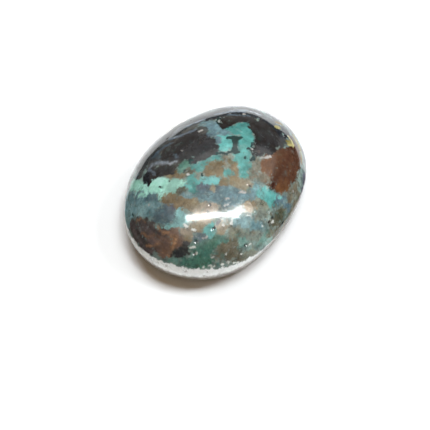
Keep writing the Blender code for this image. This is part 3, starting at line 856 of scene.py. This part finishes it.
corners = np.zeros(len(stone_mesh.vertices) * 3)
stone_mesh.vertices.foreach_get("co", corners)
skin_points = corners.reshape(-1, 3) / MM
bearings = np.arctan2(skin_points[:, 1], skin_points[:, 0])
off_side = (bearings - PAINTED_LIGHT_BEARING + math.pi) % math.tau - math.pi
painted_light_side = np.exp(-((off_side / PAINTED_LIGHT_SPREAD) ** 2))
rock_and_light_depth = ROCK_LOWEST + PAINTED_LIGHT_RISE * painted_light_side - skin_points[:, 2]
print("host rock covers %.0f%% of the points" % (100 * np.mean(rock_and_light_depth > 0)))

# %% [markdown]
# ## Depth below the edge of a patch
# Each mineral gets two numbers at every point of the skin: how deep the point lies inside its patches,
# in mm, and their tint there. Both change smoothly, so the material can fray the edges with fine noise
# and blend the tints. The patches of one mineral are merged with a soft maximum, which rounds the
# corners where two of them meet.

# %% Depth and tint of a mineral
def depth_in(chain):
    """Depth in mm inside a chain of spots (x, y, z, half-width) for every point of the skin."""
    depths = []
    for start, end in zip(chain[:-1] or chain, chain[1:] or chain):
        a, b = np.array(start[:3]), np.array(end[:3])
        along = b - a
        length_squared = max(along @ along, 1e-9)  # a lone spot has no length
        share = np.clip((skin_points - a) @ along / length_squared, 0, 1)
        away = np.linalg.norm(skin_points - a - share[:, None] * along, axis=1)
        depths.append(start[3] + share * (end[3] - start[3]) - away)
    return np.max(depths, axis=0)


SOFT_JOIN = 0.07  # mm over which two patches of a mineral melt together
SOFT_TINT = 0.22  # mm over which their tints blend


def depth_and_tint(patches):
    """Depth and tint of all the patches of one mineral, at every point of the skin."""
    depths = np.array([depth_in(chain) for _, chain in patches])
    tints = np.array([tint for tint, _ in patches])
    deepest = depths.max(0)
    joined = deepest + SOFT_JOIN * np.log(np.exp((depths - deepest) / SOFT_JOIN).sum(0))
    weights = np.exp((depths - deepest) / SOFT_TINT)
    return joined, (weights * tints[:, None]).sum(0) / weights.sum(0)


print("patches melt together over %.2f mm, tints over %.2f mm" % (SOFT_JOIN, SOFT_TINT))

# %% [markdown]
# The spots are written on a plan. Its middle lies a hair to one side of the crown, so each spot is
# shifted by that much and then lifted to the skin.

# %% Lift the spots to the skin
MARKS_ASIDE = 0.075  # mm that the middle of the markings lies to the crown's -Y side


def laid_on_skin(patches):
    """The same patches with each spot lifted to the skin."""
    return [
        (tint, [(*skin_over(x, y - MARKS_ASIDE), half) for x, y, half in chain])
        for tint, chain in patches
    ]


print("a spot at the plan's middle lies %.2f mm high" % skin_over(0, -MARKS_ASIDE)[2])

# %% [markdown]
# The far flank and the back get grains of the same minerals from a seeded generator, so that the rock
# goes on all round. On the back they show through the host rock.

# %% Grains on the far flank and the back
rng = np.random.default_rng(23)
SCATTERED = {"charcoal": 16, "turquoise": 16, "bronze": 14, "slate": 7, "chestnut": 6, "mint": 4}
FAR_SIDE = math.radians(30), math.radians(62)  # middle and half-width of the bearings that are filled
FAR_HEIGHTS = 1.4, 2.5  # mm above the back
BACK_REACH = 0.9  # share of the outline that the grains on the back keep within
GRAIN_HALF = 0.3, 0.75  # half-width in mm
GRAIN_STEP = 0.75  # mm, how far one spot of a grain lies from the last
scattered = {}
on_back = []
for mineral, count in SCATTERED.items():
    scattered[mineral] = []
    for grain in range(count):
        tint, half = rng.uniform(0.1, 0.9), rng.uniform(*GRAIN_HALF)
        if grain % 2:
            middle = skin_at(FAR_SIDE[0] + rng.uniform(-1, 1) * FAR_SIDE[1], rng.uniform(*FAR_HEIGHTS))
        else:
            turn, out = rng.uniform(0, math.tau), math.sqrt(rng.uniform(0, 1)) * BACK_REACH
            middle = [LENGTH / 2 * out * math.cos(turn), WIDTH / 2 * out * math.sin(turn), 0.0]
        chain = [(*middle, half)]
        for _ in range(2):
            step = rng.normal(0, GRAIN_STEP, 3) * (1, 1, grain % 2)
            chain.append((*(np.array(chain[-1][:3]) + step), half * rng.uniform(0.4, 0.9)))
        scattered[mineral].append((tint, chain))
        if not grain % 2:
            on_back.append(chain)
rock_and_light_depth = np.minimum(rock_and_light_depth, -np.max([depth_in(chain) for chain in on_back], axis=0))
print(sum(SCATTERED.values()), "scattered grains,", len(on_back), "of them on the back")

# %% [markdown]
# The loop goes from the lowest mineral to the topmost and measures each one's depth against the deepest
# below it, so where two overlap, the one that is deeper there shows. The ground shows only away from
# all of them. A fixed order alone would let a small overlap cut a lower patch in two.

# %% Depth and tint of every mineral
patches_of = {
    "slate": SLATE,
    "sea_green": SEA_GREEN,
    "turquoise": TURQUOISE,
    "mint": MINT,
    "taupe": TAUPE,
    "umber": UMBER,
    "chestnut": CHESTNUT,
    "bronze": BRONZE,
    "charcoal": CHARCOAL,
    "seam": SEAMS_AND_PIT_SHADE,
    "gold": GOLD_AND_GLINTS,
    "chip": CHIPS_AND_GLINTS,
    "rind": PAINTED_RIM_REFLECTION,
    "wisp": WISPS,
    "coarse": COARSE,
}
fields = {
    name: depth_and_tint(laid_on_skin(patches) + scattered.get(name, []))
    for name, patches in patches_of.items()
}
GAP = 0.3  # mm from the nearest patch where the ground starts to show
deepest_below = -GAP
for name in ("taupe", "slate", "sea_green", "turquoise", "mint", "umber", "chestnut", "bronze", "charcoal"):
    depth, tint = fields[name]
    fields[name] = (depth - deepest_below, tint)
    deepest_below = np.maximum(deepest_below, depth)
print(len(fields), "minerals measured at", len(skin_points), "points")

# %% [markdown]
# The host rock and the painted shade of the foot follow the height on the stone, so they need no patches.
# The rock is painted palest on the side towards the camera, where it reaches highest: painted light for the
# bright band there, which fades out over the lowest half millimetre. The painted shade darkens the lowest
# part of the foot, where it turns under towards the shadowed floor, and stops short of the back, which is
# given a height of its own here. The numbers are written on the mesh, where the material reads them.

# %% Rock with painted light, painted shade at the foot, and the numbers on the mesh
# the side towards the camera is painted paler, as painted light
ROCK_TINT, PAINTED_LIGHT_PALER, PAINTED_LIGHT_FALL = 0.35, 0.65, 1.8  # tint all round, what the high side adds, how steeply
PAINTED_LIGHT_FADES_OVER = 0.5  # mm up from the back
up_the_flank = np.clip(skin_points[:, 2] / PAINTED_LIGHT_FADES_OVER, 0, 1)
fields["rock"] = (rock_and_light_depth, ROCK_TINT + PAINTED_LIGHT_PALER * painted_light_side**PAINTED_LIGHT_FALL * up_the_flank)
FOOT_SHADE_HEIGHT, FOOT_SHADE_TINT = 1.15, 0.5  # mm up the foot that painted shade darkens, and its tint
BACK_LEVEL = 0.01  # mm, below which a point belongs to the flat back
flank_height = np.where(skin_points[:, 2] < BACK_LEVEL, 2 * FOOT_SHADE_HEIGHT, skin_points[:, 2])
fields["stain"] = (FOOT_SHADE_HEIGHT - flank_height, np.full_like(flank_height, FOOT_SHADE_TINT))
DEPTH_LIMIT = 4  # mm, beyond which a depth makes no difference
for name, (depth, tint) in fields.items():
    for suffix, values in (("depth", depth), ("tint", tint)):
        attribute = stone_mesh.attributes.new(f"{name}_{suffix}", "FLOAT", "POINT")
        attribute.data.foreach_set("value", np.clip(values, -DEPTH_LIMIT, DEPTH_LIMIT).astype(np.float32))
    print("%-10s covers %4.1f%%" % (name, 100 * np.mean(depth > 0)))

# %% [markdown]
# ## Polished turquoise with pyrite
# The stone is opaque and takes a glassy polish: turquoise has an IOR near 1.61, and its low reflection
# lies over a matt colour. The pyrite is a metal sulphide, so its grains are partly metallic. The tree
# starts from the ground and lays each mineral over it. Four noises are shared: clouds a millimetre
# across shift the tints, a ragged one frays the edges, a fine one is the grain, and one is drawn out
# level into streaks. An image could hold all of it, but only at one size, while noise stays sharp.

# %% Four shared noises, sized in mm
NOISES = (  # name, scale per mm, detail, roughness
    ("cloud", 0.8, 3.0, 0.55),
    ("ragged", 2.6, 4.0, 0.6),
    ("grain", 11.0, 3.0, 0.6),
    ("streak", 1.0, 3.0, 0.6),
)
STREAK_STRETCH = (0.25, 0.25, 3.2)  # four times as long on the level, a third as high
stone_finish.use_nodes = True
finish = stone_finish.node_tree
finish.nodes.clear()
place = add(finish, "ShaderNodeTexCoord").node.outputs["Object"]
in_mm = add(finish, "ShaderNodeVectorMath", {0: place, "Scale": 1 / MM}, operation="SCALE")
streaked = add(finish, "ShaderNodeVectorMath", {0: in_mm, 1: STREAK_STRETCH}, operation="MULTIPLY")
noises = {}
for name, per_mm, detail, rough in NOISES:
    noise_place = streaked if name == "streak" else in_mm
    noise = add(
        finish, "ShaderNodeTexNoise",
        {0: noise_place, "Scale": per_mm, "Detail": detail, "Roughness": rough},
    )
    noises[name] = add(
        finish, "ShaderNodeMapRange",
        {"Value": noise, "From Min": 0.3, "From Max": 0.7, "To Min": -1.0, "To Max": 1.0}, clamp=False,
    )
print("noises:", ", ".join(noises))

# %% [markdown]
# Each mineral has a row of tints. A patch picks its place in the row, and noise moves it to and fro.

# %% Tints of the minerals
TINTS = {
    "ground": ("4a5753", "616e69", "6f827e", "84968f", "9aa6a2"),
    "taupe": ("484b3c", "5c5749", "6c6658", "767868", "767e76"),
    "slate": ("565463", "4b5c66", "566e77", "68888e", "86a6a9"),
    "sea_green": ("375f50", "446e5f", "4c756b", "5a8078", "76978f"),
    "turquoise": ("2c625f", "437f7b", "53948e", "62a5a2", "84b8b8", "688a92"),
    "mint": ("6d9a8e", "82b2a4", "94c8b8", "a2dccc", "b0dcd4"),
    "umber": ("2a2626", "464040", "585050", "6a5953", "7c6352", "cfa078"),
    "chestnut": ("30140c", "442a20", "513628", "66442b", "6a574c"),
    "bronze": ("482c14", "5e4e30", "6e6048", "7c6e54", "8a826e", "a2978a"),
    "charcoal": ("121216", "232529", "2d2f33", "383a3c", "4a4a48", "62666c", "788088"),
    # dark matrix seams, and painted shade inside small pits
    "seam": ("0a2629", "163a3a", "2c3a3a", "463c3b", "302c26"),
    "wisp": ("a07c60", "5c4a42", "38464e", "52606c", "7c848e", "b4b6ba"),
    # far rim: pale streaks painted as a reflection of the bright floor
    "rind": ("343238", "6a686e", "8c8a90", "b0aeb2", "d2ccc4"),
    # host rock, painted paler towards the camera as painted light
    "rock": ("77767a", "a9aaab", "dce1e1", "f2f8fa"),
    # painted shade on the lowest part of the foot, where it turns under towards the floor
    "stain": ("544e48", "827d76", "aaa69f"),
    # gold pyrite, its near-white end a painted glint
    "gold": ("6e5020", "8c824b", "b4aa6e", "f4edb8"),
    # chips: painted glints and painted highlights on pit lips
    "chip": ("7c7874", "989490", "b8bab6", "dfe5e1"),
}
print(sum(len(tints) for tints in TINTS.values()), "tints for", len(TINTS), "minerals")

# %% [markdown]
# The minerals are laid from the lowest to the topmost. Each line gives the softness and the fraying of
# the edge in mm, then how far clouds, grain and streaks sway the tint, then the roughness and metallic
# of its polish, and last how much of the mottling and of the grains caught in it shows, from 0 to 1.
# Taupe and slate grade most into their neighbours, while seams, gold and chips have sharp edges.

# %% The minerals, from the ground up
MINERALS = (
    ("ground", 1.0, 0.0, 0.35, 0.12, 0.0, 0.10, 0.0, 1.0),
    ("taupe", 0.7, 0.45, 0.15, 0.1, 0.0, 0.12, 0.0, 1.0),
    ("slate", 0.7, 0.5, 0.12, 0.06, 0.0, 0.09, 0.0, 0.8),
    ("sea_green", 0.6, 0.45, 0.15, 0.08, 0.0, 0.09, 0.0, 0.9),
    ("turquoise", 0.45, 0.42, 0.1, 0.05, 0.0, 0.10, 0.0, 0.6),
    ("mint", 0.45, 0.38, 0.15, 0.06, 0.0, 0.10, 0.0, 0.3),
    ("umber", 0.4, 0.35, 0.12, 0.08, 0.12, 0.12, 0.0, 0.6),
    ("chestnut", 0.4, 0.3, 0.12, 0.08, 0.1, 0.12, 0.0, 0.3),
    ("bronze", 0.5, 0.4, 0.08, 0.07, 0.0, 0.16, 0.1, 0.7),
    ("charcoal", 0.4, 0.35, 0.1, 0.06, 0.12, 0.07, 0.0, 0.25),
    ("seam", 0.1, 0.09, 0.1, 0.06, 0.0, 0.07, 0.0, 0.2),
    ("wisp", 0.3, 0.14, 0.1, 0.1, 0.0, 0.08, 0.0, 0.2),
    ("rind", 0.25, 0.3, 0.2, 0.1, 0.7, 0.1, 0.0, 0.2),
    ("rock", 0.14, 0.12, 0.15, 0.08, 0.0, 0.14, 0.0, 0.25),
    ("stain", 0.5, 0.1, 0.3, 0.1, 0.0, 0.3, 0.0, 0.2),
    ("gold", 0.12, 0.1, 0.1, 0.1, 0.0, 0.14, 0.3, 0.0),
    ("chip", 0.14, 0.11, 0.15, 0.1, 0.0, 0.14, 0.0, 0.0),
)
colour, roughness, metallic, mixed = (0.1, 0.1, 0.1, 1.0), 0.1, 0.0, 1.0
for name, softness, fray, cloud_sway, grain_sway, streak_sway, polish, metal, mixing in MINERALS:
    tints = TINTS[name]
    tint, mask = 0.5, 1.0
    if name in fields:
        tint = add(finish, "ShaderNodeAttribute", attribute_name=f"{name}_tint").node.outputs["Fac"]
        depth = add(finish, "ShaderNodeAttribute", attribute_name=f"{name}_depth").node.outputs["Fac"]
        frayed = add(
            finish, "ShaderNodeMath",
            {0: noises["ragged"], 1: fray, 2: depth}, operation="MULTIPLY_ADD",
        )
        mask = add(
            finish, "ShaderNodeMapRange",
            {"Value": frayed, "From Min": -softness / 2, "From Max": softness / 2},
            interpolation_type="SMOOTHSTEP",
        )
    swayed = tint
    for noise_name, sway in (("cloud", cloud_sway), ("grain", grain_sway), ("streak", streak_sway)):
        if sway:
            swayed = add(
                finish, "ShaderNodeMath",
                {0: noises[noise_name], 1: sway, 2: swayed}, operation="MULTIPLY_ADD",
            )
    tinted = add(finish, "ShaderNodeValToRGB", {0: swayed})
    ramp = tinted.node.color_ramp
    while len(ramp.elements) < len(tints):
        ramp.elements.new(0.5)
    for step, (stop, hex_colour) in enumerate(zip(ramp.elements, tints)):
        stop.position = step / (len(tints) - 1)
        stop.color = linear("#" + hex_colour)
    colour = add(finish, "ShaderNodeMix", {0: mask, 6: colour, 7: tinted}, data_type="RGBA")
    roughness = add(finish, "ShaderNodeMix", {0: mask, 2: roughness, 3: polish})
    metallic = add(finish, "ShaderNodeMix", {0: mask, 2: metallic, 3: metal})
    mixed = add(finish, "ShaderNodeMix", {0: mask, 2: mixed, 3: mixing})
print(len(MINERALS), "minerals in", len(finish.nodes), "nodes")

# %% [markdown]
# No patch of real stone is one flat colour. Three things are laid over all of them: soft mottling, grains
# of the neighbours caught in each other, and the hairline seams of dark matrix that web turquoise.

# %% Mottling
mottle_noise = add(finish, "ShaderNodeTexNoise", {0: in_mm, "Scale": 1.9, "Detail": 6.0, "Roughness": 0.68})
mottle = add(
    finish, "ShaderNodeMapRange",
    {"Value": mottle_noise, "From Min": 0.3, "From Max": 0.7, "To Min": 0.22, "To Max": 0.78}, clamp=False,
)
MOTTLING = 0.35, 0.9  # strength where a mineral takes none of its neighbours, and where it takes most
mottled = add(
    finish, "ShaderNodeMapRange",
    {"Value": mixed, "To Min": MOTTLING[0], "To Max": MOTTLING[1]},
)
colour = add(
    finish, "ShaderNodeMix",
    {0: mottled, 6: colour, 7: mottle}, data_type="RGBA", blend_type="OVERLAY",
)
print("with mottling:", len(finish.nodes), "nodes")

# %% [markdown]
# Two sizes of cells stand for grains of the neighbouring minerals. Each cell draws a colour and a
# strength by chance, and few are strong. A warp bends the cells, which would otherwise be too round.

# %% Grains caught in every mineral: cells per mm, colours, strength
CAUGHT = (
    (1.7, ("2e2c2a", "5c5a4c", "47827a", "7c664c", "8aa4a0"), 0.45),
    (4.3, ("222626", "60564a", "4f9088", "8a765c", "a4b4b0"), 0.4),
)
GRAIN_WARP, SEAM_WARP = 0.7, 1.6  # mm, how far the warp moves the cells and the seams
warp = add(finish, "ShaderNodeTexNoise", {0: in_mm, "Scale": 2.4, "Detail": 3.0}).node.outputs["Color"]
for per_mm, tints, strength in CAUGHT:
    cell_place = add(
        finish, "ShaderNodeVectorMath",
        {0: warp, 1: (GRAIN_WARP,) * 3, 2: in_mm}, operation="MULTIPLY_ADD",
    )
    cell = add(finish, "ShaderNodeTexVoronoi", {"Vector": cell_place, "Scale": per_mm}).node.outputs
    chance = add(finish, "ShaderNodeSeparateColor", {0: cell["Color"]}).node.outputs
    picked = add(finish, "ShaderNodeValToRGB", {0: chance["Red"]})
    ramp = picked.node.color_ramp
    ramp.interpolation = "CONSTANT"
    while len(ramp.elements) < len(tints):
        ramp.elements.new(0.5)
    for step, (stop, hex_colour) in enumerate(zip(ramp.elements, tints)):
        stop.position = step / len(tints)
        stop.color = linear("#" + hex_colour)
    edge = add(finish, "ShaderNodeMapRange", {"Value": cell["Distance"], "From Min": 0.6, "From Max": 0.1})
    strong = add(finish, "ShaderNodeMath", {0: chance["Green"], 1: 2.0}, operation="POWER")
    caught = add(finish, "ShaderNodeMath", {0: strong, 1: edge}, operation="MULTIPLY")
    share = add(finish, "ShaderNodeMath", {0: mixed, 1: strength}, operation="MULTIPLY")
    weight = add(finish, "ShaderNodeMath", {0: caught, 1: share}, operation="MULTIPLY")
    colour = add(finish, "ShaderNodeMix", {0: weight, 6: colour, 7: picked}, data_type="RGBA")
print("with caught grains:", len(finish.nodes), "nodes")

# %% [markdown]
# Hairlines of dark matrix web the stone. They run along the borders of large warped cells, and a cloud
# breaks them, because a web without gaps would look drawn.

# %% Hairline seams
web_place = add(
    finish, "ShaderNodeVectorMath",
    {0: warp, 1: (SEAM_WARP,) * 3, 2: in_mm}, operation="MULTIPLY_ADD",
)
web = add(finish, "ShaderNodeTexVoronoi", {"Vector": web_place, "Scale": 0.9}, feature="DISTANCE_TO_EDGE")
thin = add(finish, "ShaderNodeMapRange", {"Value": web, "From Min": 0.05, "From Max": 0.015})
broken = add(
    finish, "ShaderNodeMapRange",
    {"Value": noises["cloud"], "From Min": 0.1, "From Max": 0.9, "To Max": 0.6},
)
hairline = add(finish, "ShaderNodeMath", {0: thin, 1: broken}, operation="MULTIPLY")
colour = add(finish, "ShaderNodeMix", {0: hairline, 6: colour, 7: linear("#2b2622")}, data_type="RGBA")
print("with mottling, grains and seams:", len(finish.nodes), "nodes")

# %% [markdown]
# The grains differ in hardness, so the polish leaves them at heights that differ by less than a
# thousandth of a millimetre. That is too low for the mesh, and a bump is enough to ruffle the lamps'
# reflections. Coarse places are rougher and have a deeper bump.

# %% Polish and fine relief
COARSE_HEIGHT, RELIEF_HEIGHT = 0.022, 0.0005  # mm
COARSE_ROUGHER = 0.04
relief = add(
    finish, "ShaderNodeMath",
    {0: noises["grain"], 1: 0.35, 2: noises["ragged"]}, operation="MULTIPLY_ADD",
)
coarse_depth = add(finish, "ShaderNodeAttribute", attribute_name="coarse_depth").node.outputs["Fac"]
coarse_share = add(finish, "ShaderNodeAttribute", attribute_name="coarse_tint").node.outputs["Fac"]
coarse_edge = add(finish, "ShaderNodeMapRange", {"Value": coarse_depth, "From Min": -0.3, "From Max": 0.2})
coarse = add(finish, "ShaderNodeMath", {0: coarse_edge, 1: coarse_share}, operation="MULTIPLY")
crumbs = add(finish, "ShaderNodeTexNoise", {0: in_mm, "Scale": 3.2, "Detail": 3.0, "Roughness": 0.6})
crumbled = add(finish, "ShaderNodeMath", {0: crumbs, 1: coarse}, operation="MULTIPLY")
coarse_bump = add(
    finish, "ShaderNodeBump",
    {"Height": crumbled, "Strength": 1.0, "Distance": COARSE_HEIGHT * MM},
)
relief_bump = add(
    finish, "ShaderNodeBump",
    {"Height": relief, "Strength": 1.0, "Distance": RELIEF_HEIGHT * MM, "Normal": coarse_bump},
)
roughness = add(
    finish, "ShaderNodeMath",
    {0: coarse, 1: COARSE_ROUGHER, 2: roughness}, operation="MULTIPLY_ADD",
)
TURQUOISE_IOR = 1.62
shader = add(
    finish, "ShaderNodeBsdfPrincipled",
    {
        "Base Color": colour, "Roughness": roughness, "Metallic": metallic, "Normal": relief_bump,
        "IOR": TURQUOISE_IOR,
    },
)
add(finish, "ShaderNodeOutputMaterial", {"Surface": shader})
print("the whole material:", len(finish.nodes), "nodes, IOR", TURQUOISE_IOR)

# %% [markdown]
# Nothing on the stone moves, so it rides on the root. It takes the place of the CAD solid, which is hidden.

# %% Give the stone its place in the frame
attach(stone, "root")
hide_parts("cabochon")

# %% [markdown]
# ## Floor, camera and lamps
# The stone lies on plain pale paper. The camera looks down at it by 52 degrees from a hand's length
# away, a little from the left of the short side. The paper is matt, so it takes a soft shadow and
# mirrors hardly anything.

# %% Pale floor
FLOOR_HALF = 1.5  # metres, so that no edge shows
FLOOR_DROP = 0.01 * MM  # below the back, so that the two don't share a plane
floor_mesh = bpy.data.meshes.new("pale_floor")
floor_mesh.from_pydata(
    [(x * FLOOR_HALF, y * FLOOR_HALF, -FLOOR_DROP) for x, y in ((-1, -1), (1, -1), (1, 1), (-1, 1))],
    [], [(0, 1, 2, 3)],
)
floor = bpy.data.objects.new("pale_floor", floor_mesh)
bpy.context.scene.collection.objects.link(floor)
paper = bpy.data.materials.new("matt_white_paper")
paper.use_nodes = True
paper.node_tree.nodes["Principled BSDF"].inputs["Base Color"].default_value = linear("#f3f3f4")
paper.node_tree.nodes["Principled BSDF"].inputs["Roughness"].default_value = 0.9
paper.node_tree.nodes["Principled BSDF"].inputs["Specular IOR Level"].default_value = 0.2
floor_mesh.materials.append(paper)
print("paper %.1f m across" % (2 * FLOOR_HALF))

# %% [markdown]
# A long lens keeps the oval's shape nearly as it would be drawn flat. Two level directions, towards the
# camera and to its right, are kept for placing the lamps.

# %% Camera
IMAGE_SIDE = 430  # pixels
VIEW_AZIMUTH, VIEW_ELEVATION = math.radians(-59.743), math.radians(52)
VIEW_DISTANCE = 157.9 * MM
FOCAL_PIXELS = 1942
crown_line = Vector((*(-CENTRE / HALF_SPAN * HALF_SIZE), HEIGHT / 2)) * MM
# level directions, from the stone to the camera and to the camera's right
toward = Vector((math.sin(VIEW_AZIMUTH), -math.cos(VIEW_AZIMUTH), 0.0))
aside = Vector((math.cos(VIEW_AZIMUTH), math.sin(VIEW_AZIMUTH), 0.0))
back_to_camera = toward * math.cos(VIEW_ELEVATION) + Vector((0, 0, math.sin(VIEW_ELEVATION)))
upward = back_to_camera.cross(aside)
AIM_LEFT, AIM_DOWN = 0.042, 3.153  # mm from the middle of the stone
aim = crown_line - aside * AIM_LEFT * MM - upward * AIM_DOWN * MM
eye = bpy.data.cameras.new("camera")
eye.sensor_width = 36
eye.lens = eye.sensor_width * FOCAL_PIXELS / IMAGE_SIDE
eye.clip_start, eye.clip_end = 0.01, 10
camera = bpy.data.objects.new("camera", eye)
bpy.context.scene.collection.objects.link(camera)
camera.location = crown_line + back_to_camera * VIEW_DISTANCE
camera.rotation_euler = (camera.location - aim).to_track_quat("Z", "Y").to_euler()
bpy.context.scene.camera = camera
bpy.context.scene.view_settings.view_transform = "Standard"
print("lens %.1f mm, camera at %s mm" % (eye.lens, [round(c / MM, 1) for c in camera.location]))


# %% [markdown]
# A polished dome mirrors the whole room, while its matt light comes from everywhere. Lamps that suit one
# spoil the other, so there are two sets: some that are only mirrored and some that only light. One
# helper places a lamp as the camera sees it, because that is how its reflection is judged.

# %% A helper for lamps
def lamp(name, forward, right, up, long, deep, radiance, turn=0.0, at_stone=False):
    """A soft rectangular lamp at a place in metres from the stone, as the camera sees it."""
    data = bpy.data.lights.new(name, "AREA")
    data.shape = "RECTANGLE"
    data.size, data.size_y = long, deep
    data.energy = radiance * math.pi * long * deep
    made = bpy.data.objects.new(name, data)
    bpy.context.scene.collection.objects.link(made)
    made.location = toward * forward + aside * right + Vector((0, 0, up))
    if at_stone:
        made.rotation_euler = made.location.to_track_quat("Z", "Y").to_euler()
    else:
        made.rotation_euler = (0, 0, VIEW_AZIMUTH + turn)
    return made


print("lamps are placed from a view at azimuth %.1f degrees" % math.degrees(VIEW_AZIMUTH))

# %% [markdown]
# A wide dim ceiling panel veils the top of the dome. Three bright tubes hang just below it. The longest
# draws the streak across the dome, and the other two leave smaller reflections.

# %% Lamps that are only mirrored
CEILING = 0.45  # metres
ceiling = lamp(
    "ceiling_panel", 0.04 * CEILING, 0.92 * CEILING, CEILING,
    3.76 * CEILING, 2.3 * CEILING, 0.7, math.radians(14),
)
TUBE_UP = 0.98 * CEILING
tube = lamp(
    "long_tube", 0.361 * TUBE_UP, 0.61 * TUBE_UP, TUBE_UP,
    2.12 * TUBE_UP, 0.11 * TUBE_UP, 30, math.radians(1.3),
)
second_tube = lamp(
    "short_tube", 0.58 * TUBE_UP, 0.47 * TUBE_UP, TUBE_UP, 0.42 * TUBE_UP, 0.2 * TUBE_UP, 5.5
)
tube_end = lamp(
    "tube_end", 0.42 * TUBE_UP, 1.93 * TUBE_UP, TUBE_UP, 0.3 * TUBE_UP, 0.12 * TUBE_UP, 58
)
for mirrored in (ceiling, tube, second_tube, tube_end):
    mirrored.visible_diffuse = False
print("mirrored lamps hang %.2f to %.2f m up" % (TUBE_UP, CEILING))

# %% [markdown]
# Four soft lamps, high, behind, right and left, light the rock and the paper and cast the shadow
# towards the viewer. One large lamp would give it a single even edge, where several overlap here. A long
# low lamp in front lights the near foot, which the others leave dark.

# %% Lamps that only light
DAYLIGHT = (0.93, 1.0, 1.05)  # a little cool, as linear red, green and blue
SOFT_LAMPS = (  # name, metres towards the camera, to its right and up, side in metres, radiance
    ("soft_lamp_high", -0.198, 0.166, 0.486, 0.207, 11.8),
    ("soft_lamp_behind", -0.258, 0.0, 0.486, 0.207, 4.6),
    ("soft_lamp_right", -0.148, 0.407, 0.339, 0.154, 24.3),
    ("soft_lamp_left", -0.407, -0.148, 0.339, 0.261, 7.2),
)
for name, forward, right, up, side, radiance in SOFT_LAMPS:
    soft = lamp(name, forward, right, up, side, side, radiance, at_stone=True)
    soft.data.color = DAYLIGHT
    soft.visible_glossy = False
fill = lamp("soft_lamp_front", 0.37, 0.13, 0.02, 0.3, 0.04, 12.0, at_stone=True)
fill.visible_glossy = False
print(len(SOFT_LAMPS), "soft lamps and one in front")

# %% [markdown]
# The flank mirrors what stands low around the stone, and a bright floor there would wash its colours
# out. A black card set upright round the stone is mirrored in its place. It is kept out of the picture,
# the matt light and the shadow.

# %% Black card round the stone
CARD_HEIGHT = 5.5 * MM
CARD = (  # mm to the camera's right and mm away from it
    (-27.0, 56.0), (-16.8, 26.0), (-15.8, 19.5), (-13.0, 9.0), (-11.0, 4.5), (-9.1, 1.0),
    (-8.3, -3.0), (-8.2, -6.0), (-7.0, -9.0), (-4.0, -11.0), (0.0, -12.0), (4.0, -11.0),
    (8.0, -7.5), (8.1, -3.0), (8.2, 1.0), (8.4, 2.2), (12.4, 4.4), (12.9, 7.0),
    (13.1, 9.1), (14.0, 13.3), (19.6, 27.1), (31.0, 56.0), (-27.0, 56.0),
)
card_points = []
for right, away in CARD:
    foot = (aside * right - toward * away) * MM
    card_points += [foot, foot + Vector((0, 0, CARD_HEIGHT))]
card_faces = [(i, i + 2, i + 3, i + 1) for i in range(0, len(card_points) - 2, 2)]
card_mesh = bpy.data.meshes.new("black_card")
card_mesh.from_pydata(card_points, [], card_faces)
card = bpy.data.objects.new("black_card", card_mesh)
bpy.context.scene.collection.objects.link(card)
card_black = bpy.data.materials.new("black_card")
card_black.use_nodes = True
card_black.node_tree.nodes["Principled BSDF"].inputs["Base Color"].default_value = linear("#101010")
card_black.node_tree.nodes["Principled BSDF"].inputs["Roughness"].default_value = 0.9
card_black.node_tree.nodes["Principled BSDF"].inputs["Specular IOR Level"].default_value = 0.0
card_mesh.materials.append(card_black)
card.visible_camera = card.visible_diffuse = card.visible_shadow = False
print("card of", len(card_faces), "faces, %.1f mm high" % (CARD_HEIGHT / MM))

# %% [markdown]
# A dim warm light from all round stands for the walls of the room, and keeps the shadow from going black.

# %% The room
ROOM_LIGHT = linear("#7c674b")
world = bpy.data.worlds.new("dim_room")
bpy.context.scene.world = world
world.use_nodes = True
world.node_tree.nodes["Background"].inputs["Color"].default_value = ROOM_LIGHT
print("room light, linear:", [round(part, 2) for part in ROOM_LIGHT[:3]])
